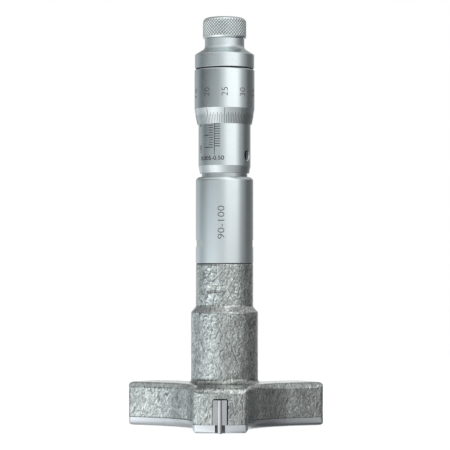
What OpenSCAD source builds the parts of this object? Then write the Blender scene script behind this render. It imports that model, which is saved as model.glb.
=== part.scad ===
// Three point bore gauge for 90 to 100 mm bores, standing on its measuring head.
// The axis of the gauge is Z, the flat underside of the head is at Z 0, and the first arm points along -Y.
// Turning the thimble drives a cone down the stem, and the cone pushes three jaws out along the arms.

/* [Measuring range] */
// Smallest bore diameter
bore_d = 90; // [82:0.5:98]
// How much wider the largest bore is
bore_span = 10; // [6:0.5:11]
// How much wider than the smallest bore the gauge is set
opened = 0.22; // [0:0.01:6]
// Lead of the micrometer screw
screw_pitch = 0.5; // [0.4:0.05:0.55]
// Change of bore diameter for one turn of the thimble
diameter_per_turn = 0.5; // [0.45:0.05:0.6]

/* [Head] */
// How far the arms stop short of the smallest bore, on the radius
head_inset = 2.7; // [1.6:0.1:4]
// Width of an arm
arm_w = 21.8; // [20:0.2:25]
// Height of the cast arms above the cover plate
arm_h = 14.6; // [12.5:0.1:17]
// Rounding along the top edges of the arms
arm_edge_r = 2.2; // [0.6:0.1:2.8]
// Rounding of the upright corners of the arms and the cover plate
corner_r = 2.2; // [0.5:0.1:3]
// Rounding between neighbouring arms, seen from above
arm_fillet_r = 36; // [30:1:45]
// Width of the sloping shoulder between the hub and the neck
shoulder_w = 2; // [1:0.1:4]
// Height of the hub above the arms
hub_h = 29.1; // [26:0.1:34]
// Fillet where the hub meets the arms
hub_fillet = 2; // [0.5:0.1:3]
// Height of the sloping shoulder on the hub
shoulder_h = 2.3; // [1:0.1:4]
// Wall of the neck around its bore
neck_wall = 1.8; // [1.4:0.1:3]
// Height of the neck
neck_h = 17.4; // [14:0.1:22]
// Depth of the spanner flats of the neck
neck_flat_depth = 0.8; // [0.4:0.05:1.2]
// Height of the spanner flats of the neck
neck_flat_h = 2.6; // [2:0.1:5]
// Distance of those flats below the top of the neck
neck_flat_drop = 10.2; // [6:0.1:12]

/* [Cover plate] */
// Thickness of the cover plate under the head
plate_t = 3.4; // [3:0.1:4.5]
// Rounding along the bottom edge of the cover plate
plate_edge_r = 2.2; // [0.4:0.1:2.6]
// Depth of the pocket in the cover plate under the cone
plate_pocket_depth = 2; // [1.5:0.1:2.2]
// Thread diameter of the cover screws
cover_screw_d = 2.5; // [2:0.1:3]
// Head diameter of the cover screws
cover_screw_head_d = 4.7; // [4:0.1:5.2]
// Clearance around the cover screws in the plate
cover_screw_clearance = 0.15; // [0.1:0.05:0.3]
// Length of the cover screws
cover_screw_l = 9; // [7:0.5:11]
// Distance of a cover screw from the end of its arm
cover_screw_inset = 5; // [4.5:0.1:5.5]
// Distance of a cover screw from the middle of its arm
cover_screw_side = 7; // [6.6:0.1:7.4]

/* [Jaws] */
// Width of a jaw
jaw_w = 5.5; // [5:0.1:6.2]
// Height of a jaw
jaw_h = 9.7; // [9:0.1:11]
// Height of the sloping face that rides on the cone
jaw_wedge_h = 2.4; // [1.8:0.1:3]
// Radius of a jaw's inner end at the smallest bore
jaw_inner_r = 2.1; // [2:0.05:2.4]
// Clearance of a jaw on each side of its slot
jaw_clearance = 0.25; // [0.1:0.05:0.3]
// Clearance of a jaw above the cover plate
jaw_float = 0.1; // [0.05:0.05:0.2]
// Clearance of a jaw below the roof of its slot
jaw_roof_gap = 0.4; // [0.2:0.05:0.5]
// Width of the hard contact strip
strip_w = 1.65; // [1.2:0.05:2]
// How far the contact strip stands out of its jaw
strip_proud = 1.2; // [1:0.05:1.6]
// How deep the contact strip is let into its jaw
strip_depth = 3; // [2:0.1:4]
// Height of the strip's lower end above the underside of the head
strip_foot = 0.15; // [0.1:0.05:0.5]
// Width of the cover plate's slot for the strip
strip_slot_w = 4; // [3:0.1:5]
// Clearance behind the strip in that slot
strip_slot_clearance = 2.6; // [0.5:0.1:4]
// Diameter of the cross pin in a jaw
jaw_pin_d = 2.5; // [2:0.1:3]
// Distance of the cross pin from the jaw's inner end
jaw_pin_set = 11.8; // [11.4:0.1:12.6]
// Outer diameter of a jaw spring
jaw_spring_d = 4; // [3.5:0.1:4.2]
// Wire diameter of a jaw spring
jaw_spring_wire = 0.6; // [0.5:0.05:0.8]
// Turns of a jaw spring
jaw_spring_turns = 7; // [5:1:8]
// Clearance behind the cross pin in its pocket
pin_room = 1.65; // [1:0.05:2]
// Distance of a spring pocket from the end of its arm
pocket_inset = 8.5; // [7.5:0.1:10]
// Clearance around a jaw spring
spring_clearance = 0.2; // [0.1:0.05:0.3]

/* [Drive] */
// Diameter of the cone's guided stem
cone_stem_d = 12; // [10:0.1:13]
// Length of the cone's guided stem
cone_stem_l = 26.5; // [24:0.5:28]
// Bore of the stem of the head, which takes the bush and the grip's spigot
stem_bore = 20; // [19.4:0.1:20.4]
// Length of the guide bush
bush_l = 20; // [16:0.5:22]
// Diameter of the push rod
rod_d = 7; // [6:0.1:8]
// Length of the push rod
rod_l = 42; // [38:0.5:46]
// Diameter of the push rod's spigot in the cone
rod_spigot_d = 4; // [3:0.1:5]
// Length of the push rod's spigot in the cone
rod_spigot_l = 5; // [4:0.5:8]
// Diameter of the thrust ball
ball_d = 5; // [4:0.1:5.4]
// Clearance around the cone, on the radius
cone_clearance = 0.5; // [0.3:0.05:0.7]
// Running clearance of a shaft in its bore, on the radius
running_gap = 0.05; // [0.03:0.01:0.08]
// Clearance left at both ends of the cone's travel
end_gap = 0.3; // [0.2:0.05:0.4]

/* [Grip] */
// How far the grip stands out from the neck, on the radius
grip_step = 0.05; // [0:0.05:0.8]
// Length of the grip
grip_l = 35.3; // [32:0.1:42]
// Rounding of the grip's top edge
grip_edge_r = 1.2; // [0.4:0.1:1.8]
// Bore through the grip
grip_bore = 10; // [9.6:0.1:11]
// Length of the grip's spigot in the head
grip_spigot_l = 12; // [9:0.5:13]
// Depth of the spanner flats of the grip
grip_flat_depth = 1.25; // [0.6:0.05:1.5]
// Height of the spanner flats of the grip
grip_flat_h = 2.9; // [2:0.1:5]
// Height of the middle of those flats above the grip's lower end
grip_flat_rise = 8; // [5:0.1:14]
// Thickness of the seal ring between the head and the grip
seal_t = 0.45; // [0.3:0.05:0.8]
// How far the seal ring lies inside the neck's surface
seal_inset = 0.25; // [0.1:0.05:0.5]

/* [Micrometer barrel] */
// Diameter of the barrel inside the sleeve
barrel_d = 18; // [16.5:0.1:19]
// How far the barrel's collar stands out from it
collar_step = 0.4; // [0.2:0.05:1]
// Height of the collar
collar_h = 1.4; // [1:0.1:3]
// How far the barrel's spigot in the grip is stepped in
spigot_step = 1.5; // [1:0.1:2]
// Length of the barrel's spigot in the grip
barrel_spigot_l = 11; // [8:0.5:14]
// Length of the barrel's screw thread
thread_l = 19; // [15:0.5:21]
// Depth of the clearance bore below the thread
thread_relief = 0.6; // [0.4:0.05:0.8]
// How far the slit end of the barrel is stepped in for its nut
barrel_end_step = 2; // [1.5:0.1:2.4]
// Width of the slits
slit_w = 0.8; // [0.5:0.1:1.2]
// How far the adjusting nut stands out from the barrel
nut_step = 0.5; // [0.2:0.1:1]
// Height of the adjusting nut
nut_h = 4; // [3:0.1:6]
// Width of the notches in the adjusting nut
nut_notch = 1.3; // [1:0.1:2]
// Height of the adjusting nut above the sleeve
nut_rise = 1.3; // [0.5:0.1:3]
// Wall of the graduated sleeve
sleeve_wall = 1.75; // [1.2:0.05:2.4]
// Length of the sleeve
sleeve_l = 22.5; // [20:0.1:26]
// How far the sleeve's lower end is tapered in
sleeve_foot_step = 0.6; // [0.3:0.05:1]
// Height of the taper at the sleeve's lower end
sleeve_taper_h = 3; // [2:0.1:4]
// Distance of the scale's first line below the sleeve's upper end
scale_drop = 2.1; // [1:0.1:4]
// Diameter of the set screw that locks the sleeve
sleeve_screw_d = 3.6; // [3:0.1:4]
// Length of the set screw
sleeve_screw_l = 3.9; // [3:0.1:4.5]
// Clearance around the set screw in the sleeve
sleeve_screw_clearance = 0.1; // [0.05:0.05:0.2]
// Height of the set screw above the sleeve's lower end
sleeve_screw_rise = 7.35; // [6:0.05:8]
// Depth of the set screw below the sleeve's surface
sleeve_screw_sink = 0.85; // [0.6:0.05:1.2]

/* [Thimble] */
// Clearance between the sleeve and the thimble, on the radius
thimble_gap = 0.15; // [0.1:0.05:0.2]
// Wall of the thimble
thimble_wall = 1.5; // [1:0.1:2.5]
// Wall of the thimble at its graduated edge
bevel_edge = 0.3; // [0.2:0.05:0.8]
// Height of the thimble's graduated taper
bevel_h = 6.4; // [4:0.1:8]
// Bevel on the thimble's upper edge
thimble_chamfer = 0.3; // [0.1:0.05:0.6]
// Thickness of the web that joins the thimble to the spindle
web_t = 4.4; // [3.5:0.1:5]
// Diameter of the spindle's screw
spindle_d = 8; // [7:0.1:8.4]
// How much thinner the spindle is below its screw, on the radius
spindle_relief = 0.3; // [0.1:0.05:0.5]
// Diameter of the spindle's taper seat in the thimble
seat_d = 10; // [9:0.1:11]
// How much that seat narrows upwards, on the radius
seat_taper = 0.5; // [0.2:0.05:0.8]
// Diameter of the spindle's threaded end in the cap
spindle_end_d = 6; // [5:0.1:7]
// Length of the spindle's threaded end
spindle_end_l = 8; // [7:0.5:9]
// Thickness of the ring between the thimble and the cap
ring_t = 0.5; // [0.3:0.05:0.8]
// How far that ring lies inside the cap's surface
ring_inset = 0.5; // [0.3:0.05:0.8]

/* [Cap and ratchet] */
// How far the cap lies inside the thimble's surface
cap_step = 0.15; // [0:0.05:0.6]
// Bevel on the cap's lower edge
cap_chamfer = 0.2; // [0.1:0.05:0.5]
// Height of the cap's cylinder
cap_h = 5.7; // [4:0.1:7]
// Height of the cap's sloping shoulder
cap_shoulder_h = 2.6; // [2:0.1:4]
// Diameter of the cap's neck
cap_neck_d = 16.3; // [15.6:0.1:17.2]
// Height of the cap's neck
cap_neck_h = 3.9; // [3.4:0.1:6]
// Diameter of the ratchet crown
crown_d = 10.4; // [9.6:0.1:11]
// Height of the ratchet crown without its teeth
crown_h = 2.4; // [2.2:0.1:3]
// How far the crown is let into the cap
crown_seat = 1.6; // [1.2:0.1:2]
// Teeth on the crown and on the click disc
click_teeth = 12; // [8:2:14]
// Height of those teeth
click_tooth_h = 0.6; // [0.4:0.05:0.8]
// Length of those teeth along the radius
click_tooth_l = 2.1; // [1.5:0.1:2.4]
// Thickness of the click disc without its teeth
disc_t = 1.3; // [1:0.1:1.6]
// Width of the keys on the click disc
key_w = 1.6; // [1.2:0.1:2]
// How far the keys stand out from the click disc
key_l = 0.9; // [0.6:0.1:1.4]
// Outer diameter of the ratchet spring
ratchet_spring_d = 8; // [7:0.1:8.6]
// Wire diameter of the ratchet spring
ratchet_spring_wire = 0.7; // [0.5:0.05:0.8]
// Length of the ratchet spring
ratchet_spring_l = 3.4; // [2.8:0.1:6]
// Turns of the ratchet spring
ratchet_spring_turns = 2; // [1.5:0.5:2]
// Diameter of the ratchet screw
ratchet_screw_d = 3; // [2.5:0.1:3.4]
// How deep the ratchet screw goes into the spindle
ratchet_screw_l = 6.5; // [4:0.5:7]
// Head diameter of the ratchet screw
ratchet_screw_head_d = 5.6; // [5:0.1:6.4]
// Height of the ratchet screw's head
ratchet_screw_head_h = 0.9; // [0.7:0.1:1]
// Diameter of the ratchet knob
knob_d = 17.9; // [17:0.1:20]
// Rounding of the knob's top edge
knob_edge_r = 1.9; // [0.5:0.1:2.4]
// Bevel on the knob's lower edge
knob_chamfer = 0.4; // [0.2:0.05:0.8]
// Thickness of the knob's top
knob_top_t = 1.9; // [1.7:0.1:2.4]
// Clearance between the knob and the pieces it turns on
knob_gap = 0.15; // [0.1:0.05:0.25]

/* [Hidden] */
$fn = 120;
arm_count = 3;
arm_step = 360 / arm_count;
arc_steps = 6;          // straight pieces in a rounded edge
cut = 0.01;             // how far a cut runs past the face it starts from
spring_sides = 6;
spring_rings = 8;       // rings in one turn of a spring
grip_flat_angle = 16;   // direction that the grip's flats face
neck_flat_angle = 76;   // direction that the neck's flats face
sleeve_screw_angle = -28;
socket_share = 0.7;     // width and depth of a socket compared with its screw
slot_share = 0.2;       // width of a screwdriver slot compared with its screw
notch_share = 0.8;      // depth of a ratchet notch compared with the teeth
trim = plate_t / 4;     // steps by which the blanks of head and plate overrun before they are cut off level
least_fillet = 0.3;     // smallest fillet at the foot of the hub
shave = 0.04;           // how much is ground off the plate's underside once its edges are rounded
web_sink = 0.15;        // how far the fillets between the arms run into the sides of the arms

// How the screw, the cone and the jaws go together
axial_per_diameter = screw_pitch / diameter_per_turn;
cone_slope = 1 / (2 * axial_per_diameter);
jaw_out = opened / 2;
drive_down = opened * axial_per_diameter;
drive_left = (bore_span - opened) * axial_per_diameter;

// Head
head_d = bore_d - 2 * head_inset;
neck_d = stem_bore + 2 * neck_wall;
neck_flats = neck_d - 2 * neck_flat_depth;
hub_d = neck_d + 2 * shoulder_w;
next_arm = arm_step - 90;
web_reach = arm_w / 2 + arm_fillet_r - web_sink;
web_ledge = web_reach / cos(next_arm) - arm_fillet_r - arm_edge_r - hub_d / 2;
hub_foot = max(least_fillet, min(hub_fillet, web_ledge - web_sink));
arm_top = plate_t + arm_h;
hub_top = arm_top + hub_h;
neck_bottom = hub_top + shoulder_h;
neck_top = neck_bottom + neck_h;

// Jaws, their slots and springs
jaw_bottom = plate_t + jaw_float;
jaw_top = jaw_bottom + jaw_h;
jaw_knee = jaw_top - jaw_wedge_h;
jaw_in = jaw_inner_r + jaw_out;
strip_tip = (bore_d + opened) / 2;
jaw_face = strip_tip - strip_proud;
slot_w = jaw_w + 2 * jaw_clearance;
slot_top = jaw_top + jaw_roof_gap;
jaw_pin_r = jaw_in + jaw_pin_set;
jaw_pin_z = plate_t + spring_clearance + jaw_spring_d / 2 + jaw_float;
spring_x = slot_w / 2 + spring_clearance + jaw_spring_d / 2;
pocket_w = 2 * (spring_x + jaw_spring_d / 2 + spring_clearance);
pocket_top = jaw_pin_z + jaw_spring_d / 2 + spring_clearance;
pocket_start = jaw_inner_r + jaw_pin_set - jaw_pin_d / 2 - pin_room;
pocket_end = head_d / 2 - pocket_inset;
jaw_pin_l = pocket_w - 2 * spring_clearance;
spring_start = jaw_pin_r + jaw_pin_d / 2 + spring_clearance / 2;
spring_l = pocket_end - spring_clearance / 2 - spring_start;
strip_slot_start = jaw_face - jaw_out - strip_depth - strip_slot_clearance;

// Cone and its guide
pocket_floor = plate_t - plate_pocket_depth;
wedge_gap = running_gap;
cone_tip_z = pocket_floor + end_gap + drive_left;
cone_base_z = jaw_top + end_gap + drive_left;
function cone_r(z) = jaw_in - wedge_gap + (z - jaw_knee) * cone_slope;
cone_bore = 2 * (cone_r(cone_base_z) + cone_clearance);
plate_pocket_r = cone_r(cone_tip_z) + plate_pocket_depth * cone_slope + 2 * cone_clearance;
bush_seat = cone_base_z + drive_down + end_gap;
cone_top = cone_base_z + cone_stem_l;
rod_top = cone_top + rod_l;
ball_top = rod_top + ball_d / 2;

// Grip, barrel and sleeve
grip_d = neck_d + 2 * grip_step;
grip_flats = grip_d - 2 * grip_flat_depth;
collar_d = barrel_d + 2 * collar_step;
barrel_spigot_d = barrel_d - 2 * spigot_step;
barrel_end_d = barrel_d - 2 * barrel_end_step;
nut_d = barrel_d + 2 * nut_step;
sleeve_d = barrel_d + 2 * sleeve_wall;
sleeve_foot_d = sleeve_d - 2 * sleeve_foot_step;
sleeve_screw_outer = sleeve_d / 2 - sleeve_screw_sink;
sleeve_screw_inner = sleeve_screw_outer - sleeve_screw_l;
grip_bottom = neck_top + seal_t;
grip_top = grip_bottom + grip_l;
sleeve_foot = grip_top + collar_h;
sleeve_top = sleeve_foot + sleeve_l;
scale_zero = sleeve_top - scale_drop;
nut_seat = sleeve_top + nut_rise;
barrel_top = nut_seat + nut_h + end_gap;
thread_bottom = barrel_top - thread_l;

// Thimble, cap and ratchet
thimble_bore_r = sleeve_d / 2 + thimble_gap;
bevel_r = thimble_bore_r + bevel_edge;
thimble_r = thimble_bore_r + thimble_wall;
cap_r = thimble_r - cap_step;
thimble_edge = scale_zero - drive_down;
web_bottom = barrel_top + drive_left + 2 * end_gap;
thimble_top = web_bottom + web_t;
spindle_top = thimble_top + spindle_end_l;
cap_bottom = thimble_top + ring_t;
cap_neck_bottom = cap_bottom + cap_h + cap_shoulder_h;
cap_top = cap_neck_bottom + cap_neck_h;
crown_bottom = cap_top - crown_seat;
crown_top = crown_bottom + crown_h;
disc_bottom = crown_top + 2 * click_tooth_h + knob_gap;
disc_top = disc_bottom + disc_t;
knob_bottom = cap_top + knob_gap;
knob_roof = disc_top + ratchet_spring_l;
knob_top = knob_roof + knob_top_t;
disc_r = crown_d / 2;
tooth_inner_r = disc_r - click_tooth_l;
knob_cavity_r = disc_r + knob_gap;
key_reach = disc_r + key_l;
screw_hole_r = ratchet_screw_d / 2 + knob_gap;
screw_seat = knob_top - ratchet_screw_head_h - knob_gap;
ratchet_screw_tip = spindle_top - ratchet_screw_l;

// Points of an arc around a centre
function arc(centre, r, from, to) =
    [for (i = [0:arc_steps])
        let (a = from + (to - from) * i / arc_steps) centre + r * [cos(a), sin(a)]];

// Solid of revolution around the gauge's axis, from points of radius and height
module turned(points) {
    rotate_extrude() polygon(points);
}

// Plain tube between two heights
module tube(outer_d, inner_d, bottom, top) {
    turned([[inner_d / 2, bottom], [outer_d / 2, bottom], [outer_d / 2, top], [inner_d / 2, top]]);
}

// Plain cylinder between two heights
module rod(d, bottom, top) {
    translate([0, 0, bottom]) cylinder(d = d, h = top - bottom);
}

// Turns what is drawn on the first arm onto arm n, counted from 0
module on_arm(n) {
    rotate(n * arm_step) children();
}

// Repeats what is drawn on the first arm on every arm
module on_each_arm() {
    for (n = [0:arm_count - 1]) on_arm(n) children();
}

// Extrudes an outline of radius and height sideways across the first arm
module across_arm(width) {
    rotate([90, 0, -90]) linear_extrude(width, center = true) children();
}

// Box on the first arm, between two radii and two heights
module arm_box(width, from_r, to_r, bottom, top) {
    translate([-width / 2, -to_r, bottom]) cube([width, to_r - from_r, top - bottom]);
}

// Cylinder across the first arm
module arm_pin(d, length, r, z) {
    translate([0, -r, z]) rotate([0, 90, 0]) cylinder(d = d, h = length, center = true);
}

// Outline with rounded lower or upper outer corners, mirrored about the middle if both sides count
function edge_profile(half, bottom, top, bottom_r, top_r) = concat(
    bottom_r > 0 ? arc([half - bottom_r, bottom + bottom_r], bottom_r, -90, 0) : [[half, bottom]],
    top_r > 0 ? arc([half - top_r, top - top_r], top_r, 0, 90) : [[half, top]]);
function mirrored(points) = concat(points,
    [for (i = [len(points) - 1:-1:0]) [-points[i].x, points[i].y]]);

// Plan of an arm with its upright corners rounded, running out past the turned end
function arm_plan() =
    let (x = arm_w / 2 - corner_r, y = -sqrt(pow(head_d / 2 - corner_r, 2) - x * x))
    mirrored(concat([[arm_w / 2, 0]], arc([x, y], corner_r, 0, atan2(y, x)), [[0, -head_d]]));

// Arm between two heights, with its edges rounded along the sides and around the turned end
module arm_blank(bottom, top, bottom_r, top_r) {
    intersection() {
        rotate([90, 0, 0])
            linear_extrude(head_d) polygon(mirrored(edge_profile(arm_w / 2, bottom, top, bottom_r, top_r)));
        turned(concat([[0, bottom]], edge_profile(head_d / 2, bottom, top, bottom_r, top_r), [[0, top]]));
        translate([0, 0, bottom - cut]) linear_extrude(top - bottom + 2 * cut) polygon(arm_plan());
    }
}

// Fillet between an arm and the next, between two heights, with its edges rounded like those of the arms
module arm_web(bottom, top, bottom_r, top_r) {
    r = arm_fillet_r;
    centre = [web_reach, -web_reach * tan(next_arm)];
    edge = concat(
        bottom_r > 0 ? arc([r + bottom_r, bottom + bottom_r], bottom_r, 270, 180) : [[r, bottom]],
        top_r > 0 ? arc([r + top_r, top - top_r], top_r, 180, 90) : [[r, top]]);
    difference() {
        translate([0, 0, bottom]) linear_extrude(top - bottom)
            polygon([[0, 0], [0, centre.y], centre, -centre.y * [cos(next_arm), sin(next_arm)]]);
        translate(centre) turned(concat(
            [[0, bottom - cut], [edge[0].x, bottom - cut]], edge,
            [[edge[len(edge) - 1].x, top + cut], [0, top + cut]]));
    }
}

// Positions of the two cover screws of an arm
module at_cover_screws() {
    on_each_arm() for (side = [-1, 1])
        translate([side * cover_screw_side, cover_screw_inset - head_d / 2, 0]) children();
}

// Pair of flats cut into a round stem
module flats(stem_d, width, middle, height, angle) {
    rotate(angle) for (side = [0, 180])
        rotate(side) translate([width / 2, -stem_d / 2, middle - height / 2]) cube([stem_d, stem_d, height]);
}

// Cast head with its hub and neck, bored for the drive and slotted for the jaws
module head_body() {
    color("darkgray") difference() {
        union() {
            on_each_arm() {
                arm_blank(plate_t - trim, arm_top, 0, arm_edge_r);
                arm_web(plate_t - 1.5 * trim, arm_top, 0, arm_edge_r);
            }
            turned([
                [0, plate_t - 2 * trim], [hub_d / 2, plate_t - 2 * trim], [hub_d / 2, hub_top],
                [neck_d / 2, neck_bottom], [neck_d / 2, neck_top], [0, neck_top]
            ]);
            turned(concat([[0, arm_top - arm_edge_r], [hub_d / 2 + hub_foot, arm_top - arm_edge_r]],
                arc([hub_d / 2 + hub_foot, arm_top + hub_foot - shave], hub_foot, 270, 180),
                [[0, arm_top + hub_foot - shave]]));
        }
        rod(2 * head_d, plate_t - 3 * trim, plate_t);
        rod(cone_bore, plate_t - cut, bush_seat + cut);
        rod(stem_bore, bush_seat, neck_top + cut);
        on_each_arm() {
            arm_box(slot_w, 0, head_d, plate_t - cut, slot_top);
            arm_box(pocket_w, pocket_start, pocket_end, plate_t - cut, pocket_top);
        }
        at_cover_screws() rod(cover_screw_d, plate_t - cut, cover_screw_l + end_gap);
        flats(neck_d, neck_flats, neck_top - neck_flat_drop, neck_flat_h, neck_flat_angle);
    }
}

// Countersunk hole or head of a cover screw, opening at the underside of the head
module cover_screw_shape(shank_r, rim_r, top, sink) {
    turned([
        [0, sink], [rim_r, sink], [rim_r, sink + cut],
        [shank_r, sink + cut + rim_r - shank_r], [shank_r, top], [0, top]
    ]);
}

// Steel plate that closes the jaw slots and carries the gauge on a table
module bottom_plate() {
    color("silver") difference() {
        on_each_arm() {
            arm_blank(-shave, plate_t + trim, plate_edge_r, 0);
            arm_web(-2 * shave, plate_t + 2 * trim, plate_edge_r, 0);
        }
        rod(2 * head_d, -trim, 0);
        rod(2 * head_d, plate_t, plate_t + 3 * trim);
        rod(2 * plate_pocket_r, pocket_floor, plate_t + cut);
        on_each_arm() arm_box(strip_slot_w, strip_slot_start, head_d, -cut, plate_t + cut);
        at_cover_screws() cover_screw_shape(
            cover_screw_d / 2 + cover_screw_clearance, cover_screw_head_d / 2 + cover_screw_clearance,
            plate_t + cut, -cut);
    }
}

// Socket screws that hold the cover plate
module cover_screws() {
    socket = socket_share * cover_screw_d;
    color("dimgray") at_cover_screws() difference() {
        cover_screw_shape(cover_screw_d / 2, cover_screw_head_d / 2, cover_screw_l, 2 * cut);
        translate([0, 0, -cut]) cylinder(d = socket, h = socket, $fn = 6);
    }
}

// Jaw that slides along an arm, with a sloping inner end for the cone
module jaw(n) {
    wedge_run = jaw_wedge_h * cone_slope;
    color("silver") on_arm(n) difference() {
        across_arm(jaw_w) polygon([
            [jaw_in, jaw_bottom], [jaw_face, jaw_bottom], [jaw_face, jaw_top],
            [jaw_in + wedge_run, jaw_top], [jaw_in, jaw_knee]
        ]);
        arm_box(strip_w, jaw_face - strip_depth, head_d, 0, jaw_top + cut);
        arm_pin(jaw_pin_d, 2 * jaw_w, jaw_pin_r, jaw_pin_z);
    }
}

// Hard strip with a round nose that touches the bore, reaching down to the underside of the head
module contact_strip(n) {
    nose = strip_w / 2;
    color("gray") on_arm(n) union() {
        arm_box(strip_w, jaw_face - strip_depth, strip_tip - nose, strip_foot, jaw_top);
        translate([0, nose - strip_tip, strip_foot]) cylinder(r = nose, h = jaw_top - strip_foot);
    }
}

// Cross pin that the two jaw springs push on
module jaw_pin(n) {
    color("dimgray") on_arm(n) arm_pin(jaw_pin_d, jaw_pin_l, jaw_pin_r, jaw_pin_z);
}

// Points along the middle of a spring's wire, up the Z axis from 0
function spring_path(d, wire, length, turns) =
    let (r = (d - wire) / 2, steps = round(turns * spring_rings), climb = length - 2 * wire)
    [for (i = [0:steps])
        let (a = 360 * i / spring_rings) [r * cos(a), r * sin(a), wire + climb * i / steps]];

// Least gap between the wire of neighbouring turns, measured on the path's points
function spring_gap(path, wire) =
    min([for (i = [0:len(path) - 1 - spring_rings]) norm(path[i + spring_rings] - path[i])]) - wire;

// Coil spring swept as one closed tube, up the Z axis from 0
module spring(d, wire, length, turns) {
    path = spring_path(d, wire, length, turns);
    last = len(path) - 1;
    echo(least_gap_between_turns = spring_gap(path, wire));
    points = [for (i = [0:last], k = [0:spring_sides - 1])
        let (
            a = 360 * i / spring_rings,
            out = [cos(a), sin(a), 0],
            step = path[min(i + 1, last)] - path[max(i - 1, 0)],
            up = cross(step / norm(step), out),
            b = 360 * k / spring_sides
        )
        path[i] + wire / 2 * (cos(b) * out + sin(b) * up)];
    function corner(i, k) = i * spring_sides + k % spring_sides;
    walls = [for (i = [0:last - 1], k = [0:spring_sides - 1], half = [0, 1])
        half == 0 ? [corner(i, k), corner(i + 1, k), corner(i, k + 1)]
                  : [corner(i, k + 1), corner(i + 1, k), corner(i + 1, k + 1)]];
    caps = [for (k = [1:spring_sides - 2], end = [0, 1])
        end == 0 ? [corner(0, 0), corner(0, k), corner(0, k + 1)]
                 : [corner(last, 0), corner(last, k + 1), corner(last, k)]];
    polyhedron(points, concat(walls, caps));
}

// Pair of springs that draw a jaw back onto the cone
module jaw_springs(n) {
    color("lightsteelblue") on_arm(n) for (side = [-1, 1])
        translate([side * spring_x, -spring_start, jaw_pin_z]) rotate([90, 0, 0])
            spring(jaw_spring_d, jaw_spring_wire, spring_l, jaw_spring_turns);
}

// Hardened cone on a guided stem
module cone() {
    color("silver") difference() {
        turned([
            [0, cone_tip_z], [cone_r(cone_tip_z), cone_tip_z], [cone_r(cone_base_z), cone_base_z],
            [cone_stem_d / 2, cone_base_z], [cone_stem_d / 2, cone_top], [0, cone_top]
        ]);
        rod(rod_spigot_d, cone_top - rod_spigot_l, cone_top + cut);
    }
}

// Bronze bush pressed into the head that guides the cone's stem
module guide_bush() {
    color("peru") tube(stem_bore, cone_stem_d + 2 * running_gap, bush_seat, bush_seat + bush_l);
}

// Rod that carries the thrust from the thimble down to the cone
module push_rod() {
    color("lightgray") difference() {
        union() {
            rod(rod_spigot_d, cone_top - rod_spigot_l, cone_top + cut);
            rod(rod_d, cone_top, rod_top);
        }
        rod(ball_d + 2 * running_gap, rod_top - ball_d / 2, rod_top + cut);
    }
}

// Ball between the push rod and the turning spindle
module thrust_ball() {
    color("lightgray") translate([0, 0, rod_top]) sphere(d = ball_d);
}

// Rubber ring in the joint between the head and the grip
module seal_ring() {
    color("black") tube(neck_d - 2 * seal_inset, stem_bore, neck_top, grip_bottom);
}

// Smooth metal grip, screwed into the head and bored for the push rod
module grip() {
    color("gainsboro") difference() {
        turned(concat(
            [
                [grip_bore / 2, neck_top - grip_spigot_l], [stem_bore / 2, neck_top - grip_spigot_l],
                [stem_bore / 2, grip_bottom], [grip_d / 2, grip_bottom]
            ],
            arc([grip_d / 2 - grip_edge_r, grip_top - grip_edge_r], grip_edge_r, 0, 90),
            [
                [barrel_spigot_d / 2, grip_top], [barrel_spigot_d / 2, grip_top - barrel_spigot_l],
                [grip_bore / 2, grip_top - barrel_spigot_l]
            ]));
        flats(grip_d, grip_flats, grip_bottom + grip_flat_rise, grip_flat_h, grip_flat_angle);
    }
}

// Radial hole through the barrel and the sleeve
module sleeve_screw_axis(d, from_r, to_r) {
    translate([0, 0, sleeve_foot + sleeve_screw_rise]) rotate([0, 90, sleeve_screw_angle])
        translate([0, 0, from_r]) cylinder(d = d, h = to_r - from_r);
}

// Barrel that holds the micrometer thread, with a slit end for adjusting it
module inner_barrel() {
    thread_r = spindle_d / 2 + running_gap;
    clear_r = thread_r + thread_relief;
    color("lightgray") difference() {
        turned([
            [clear_r, grip_top - barrel_spigot_l], [barrel_spigot_d / 2, grip_top - barrel_spigot_l],
            [barrel_spigot_d / 2, grip_top], [collar_d / 2, grip_top], [collar_d / 2, sleeve_foot],
            [barrel_d / 2, sleeve_foot], [barrel_d / 2, nut_seat], [barrel_end_d / 2, nut_seat],
            [barrel_end_d / 2, barrel_top], [thread_r, barrel_top], [thread_r, thread_bottom],
            [clear_r, thread_bottom - thread_relief]
        ]);
        for (turn = [0, 90]) rotate(turn)
            translate([-barrel_d, -slit_w / 2, nut_seat]) cube([2 * barrel_d, slit_w, nut_h + 2 * end_gap]);
        sleeve_screw_axis(sleeve_screw_d, sleeve_screw_inner, barrel_d);
    }
}

// Ring nut that closes the slit end of the barrel on the spindle
module adjusting_nut() {
    nut_top = nut_seat + nut_h;
    color("dimgray") difference() {
        tube(nut_d, barrel_end_d, nut_seat, nut_top);
        for (turn = [0, 90]) rotate(turn)
            translate([-nut_d, -nut_notch / 2, nut_top - nut_notch]) cube([2 * nut_d, nut_notch, nut_h]);
    }
}

// Graduated sleeve around the barrel
module sleeve() {
    color("silver") difference() {
        turned([
            [barrel_d / 2, sleeve_foot], [sleeve_foot_d / 2, sleeve_foot],
            [sleeve_d / 2, sleeve_foot + sleeve_taper_h], [sleeve_d / 2, sleeve_top],
            [barrel_d / 2, sleeve_top]
        ]);
        sleeve_screw_axis(sleeve_screw_d + 2 * sleeve_screw_clearance, 0, sleeve_d);
    }
}

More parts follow.
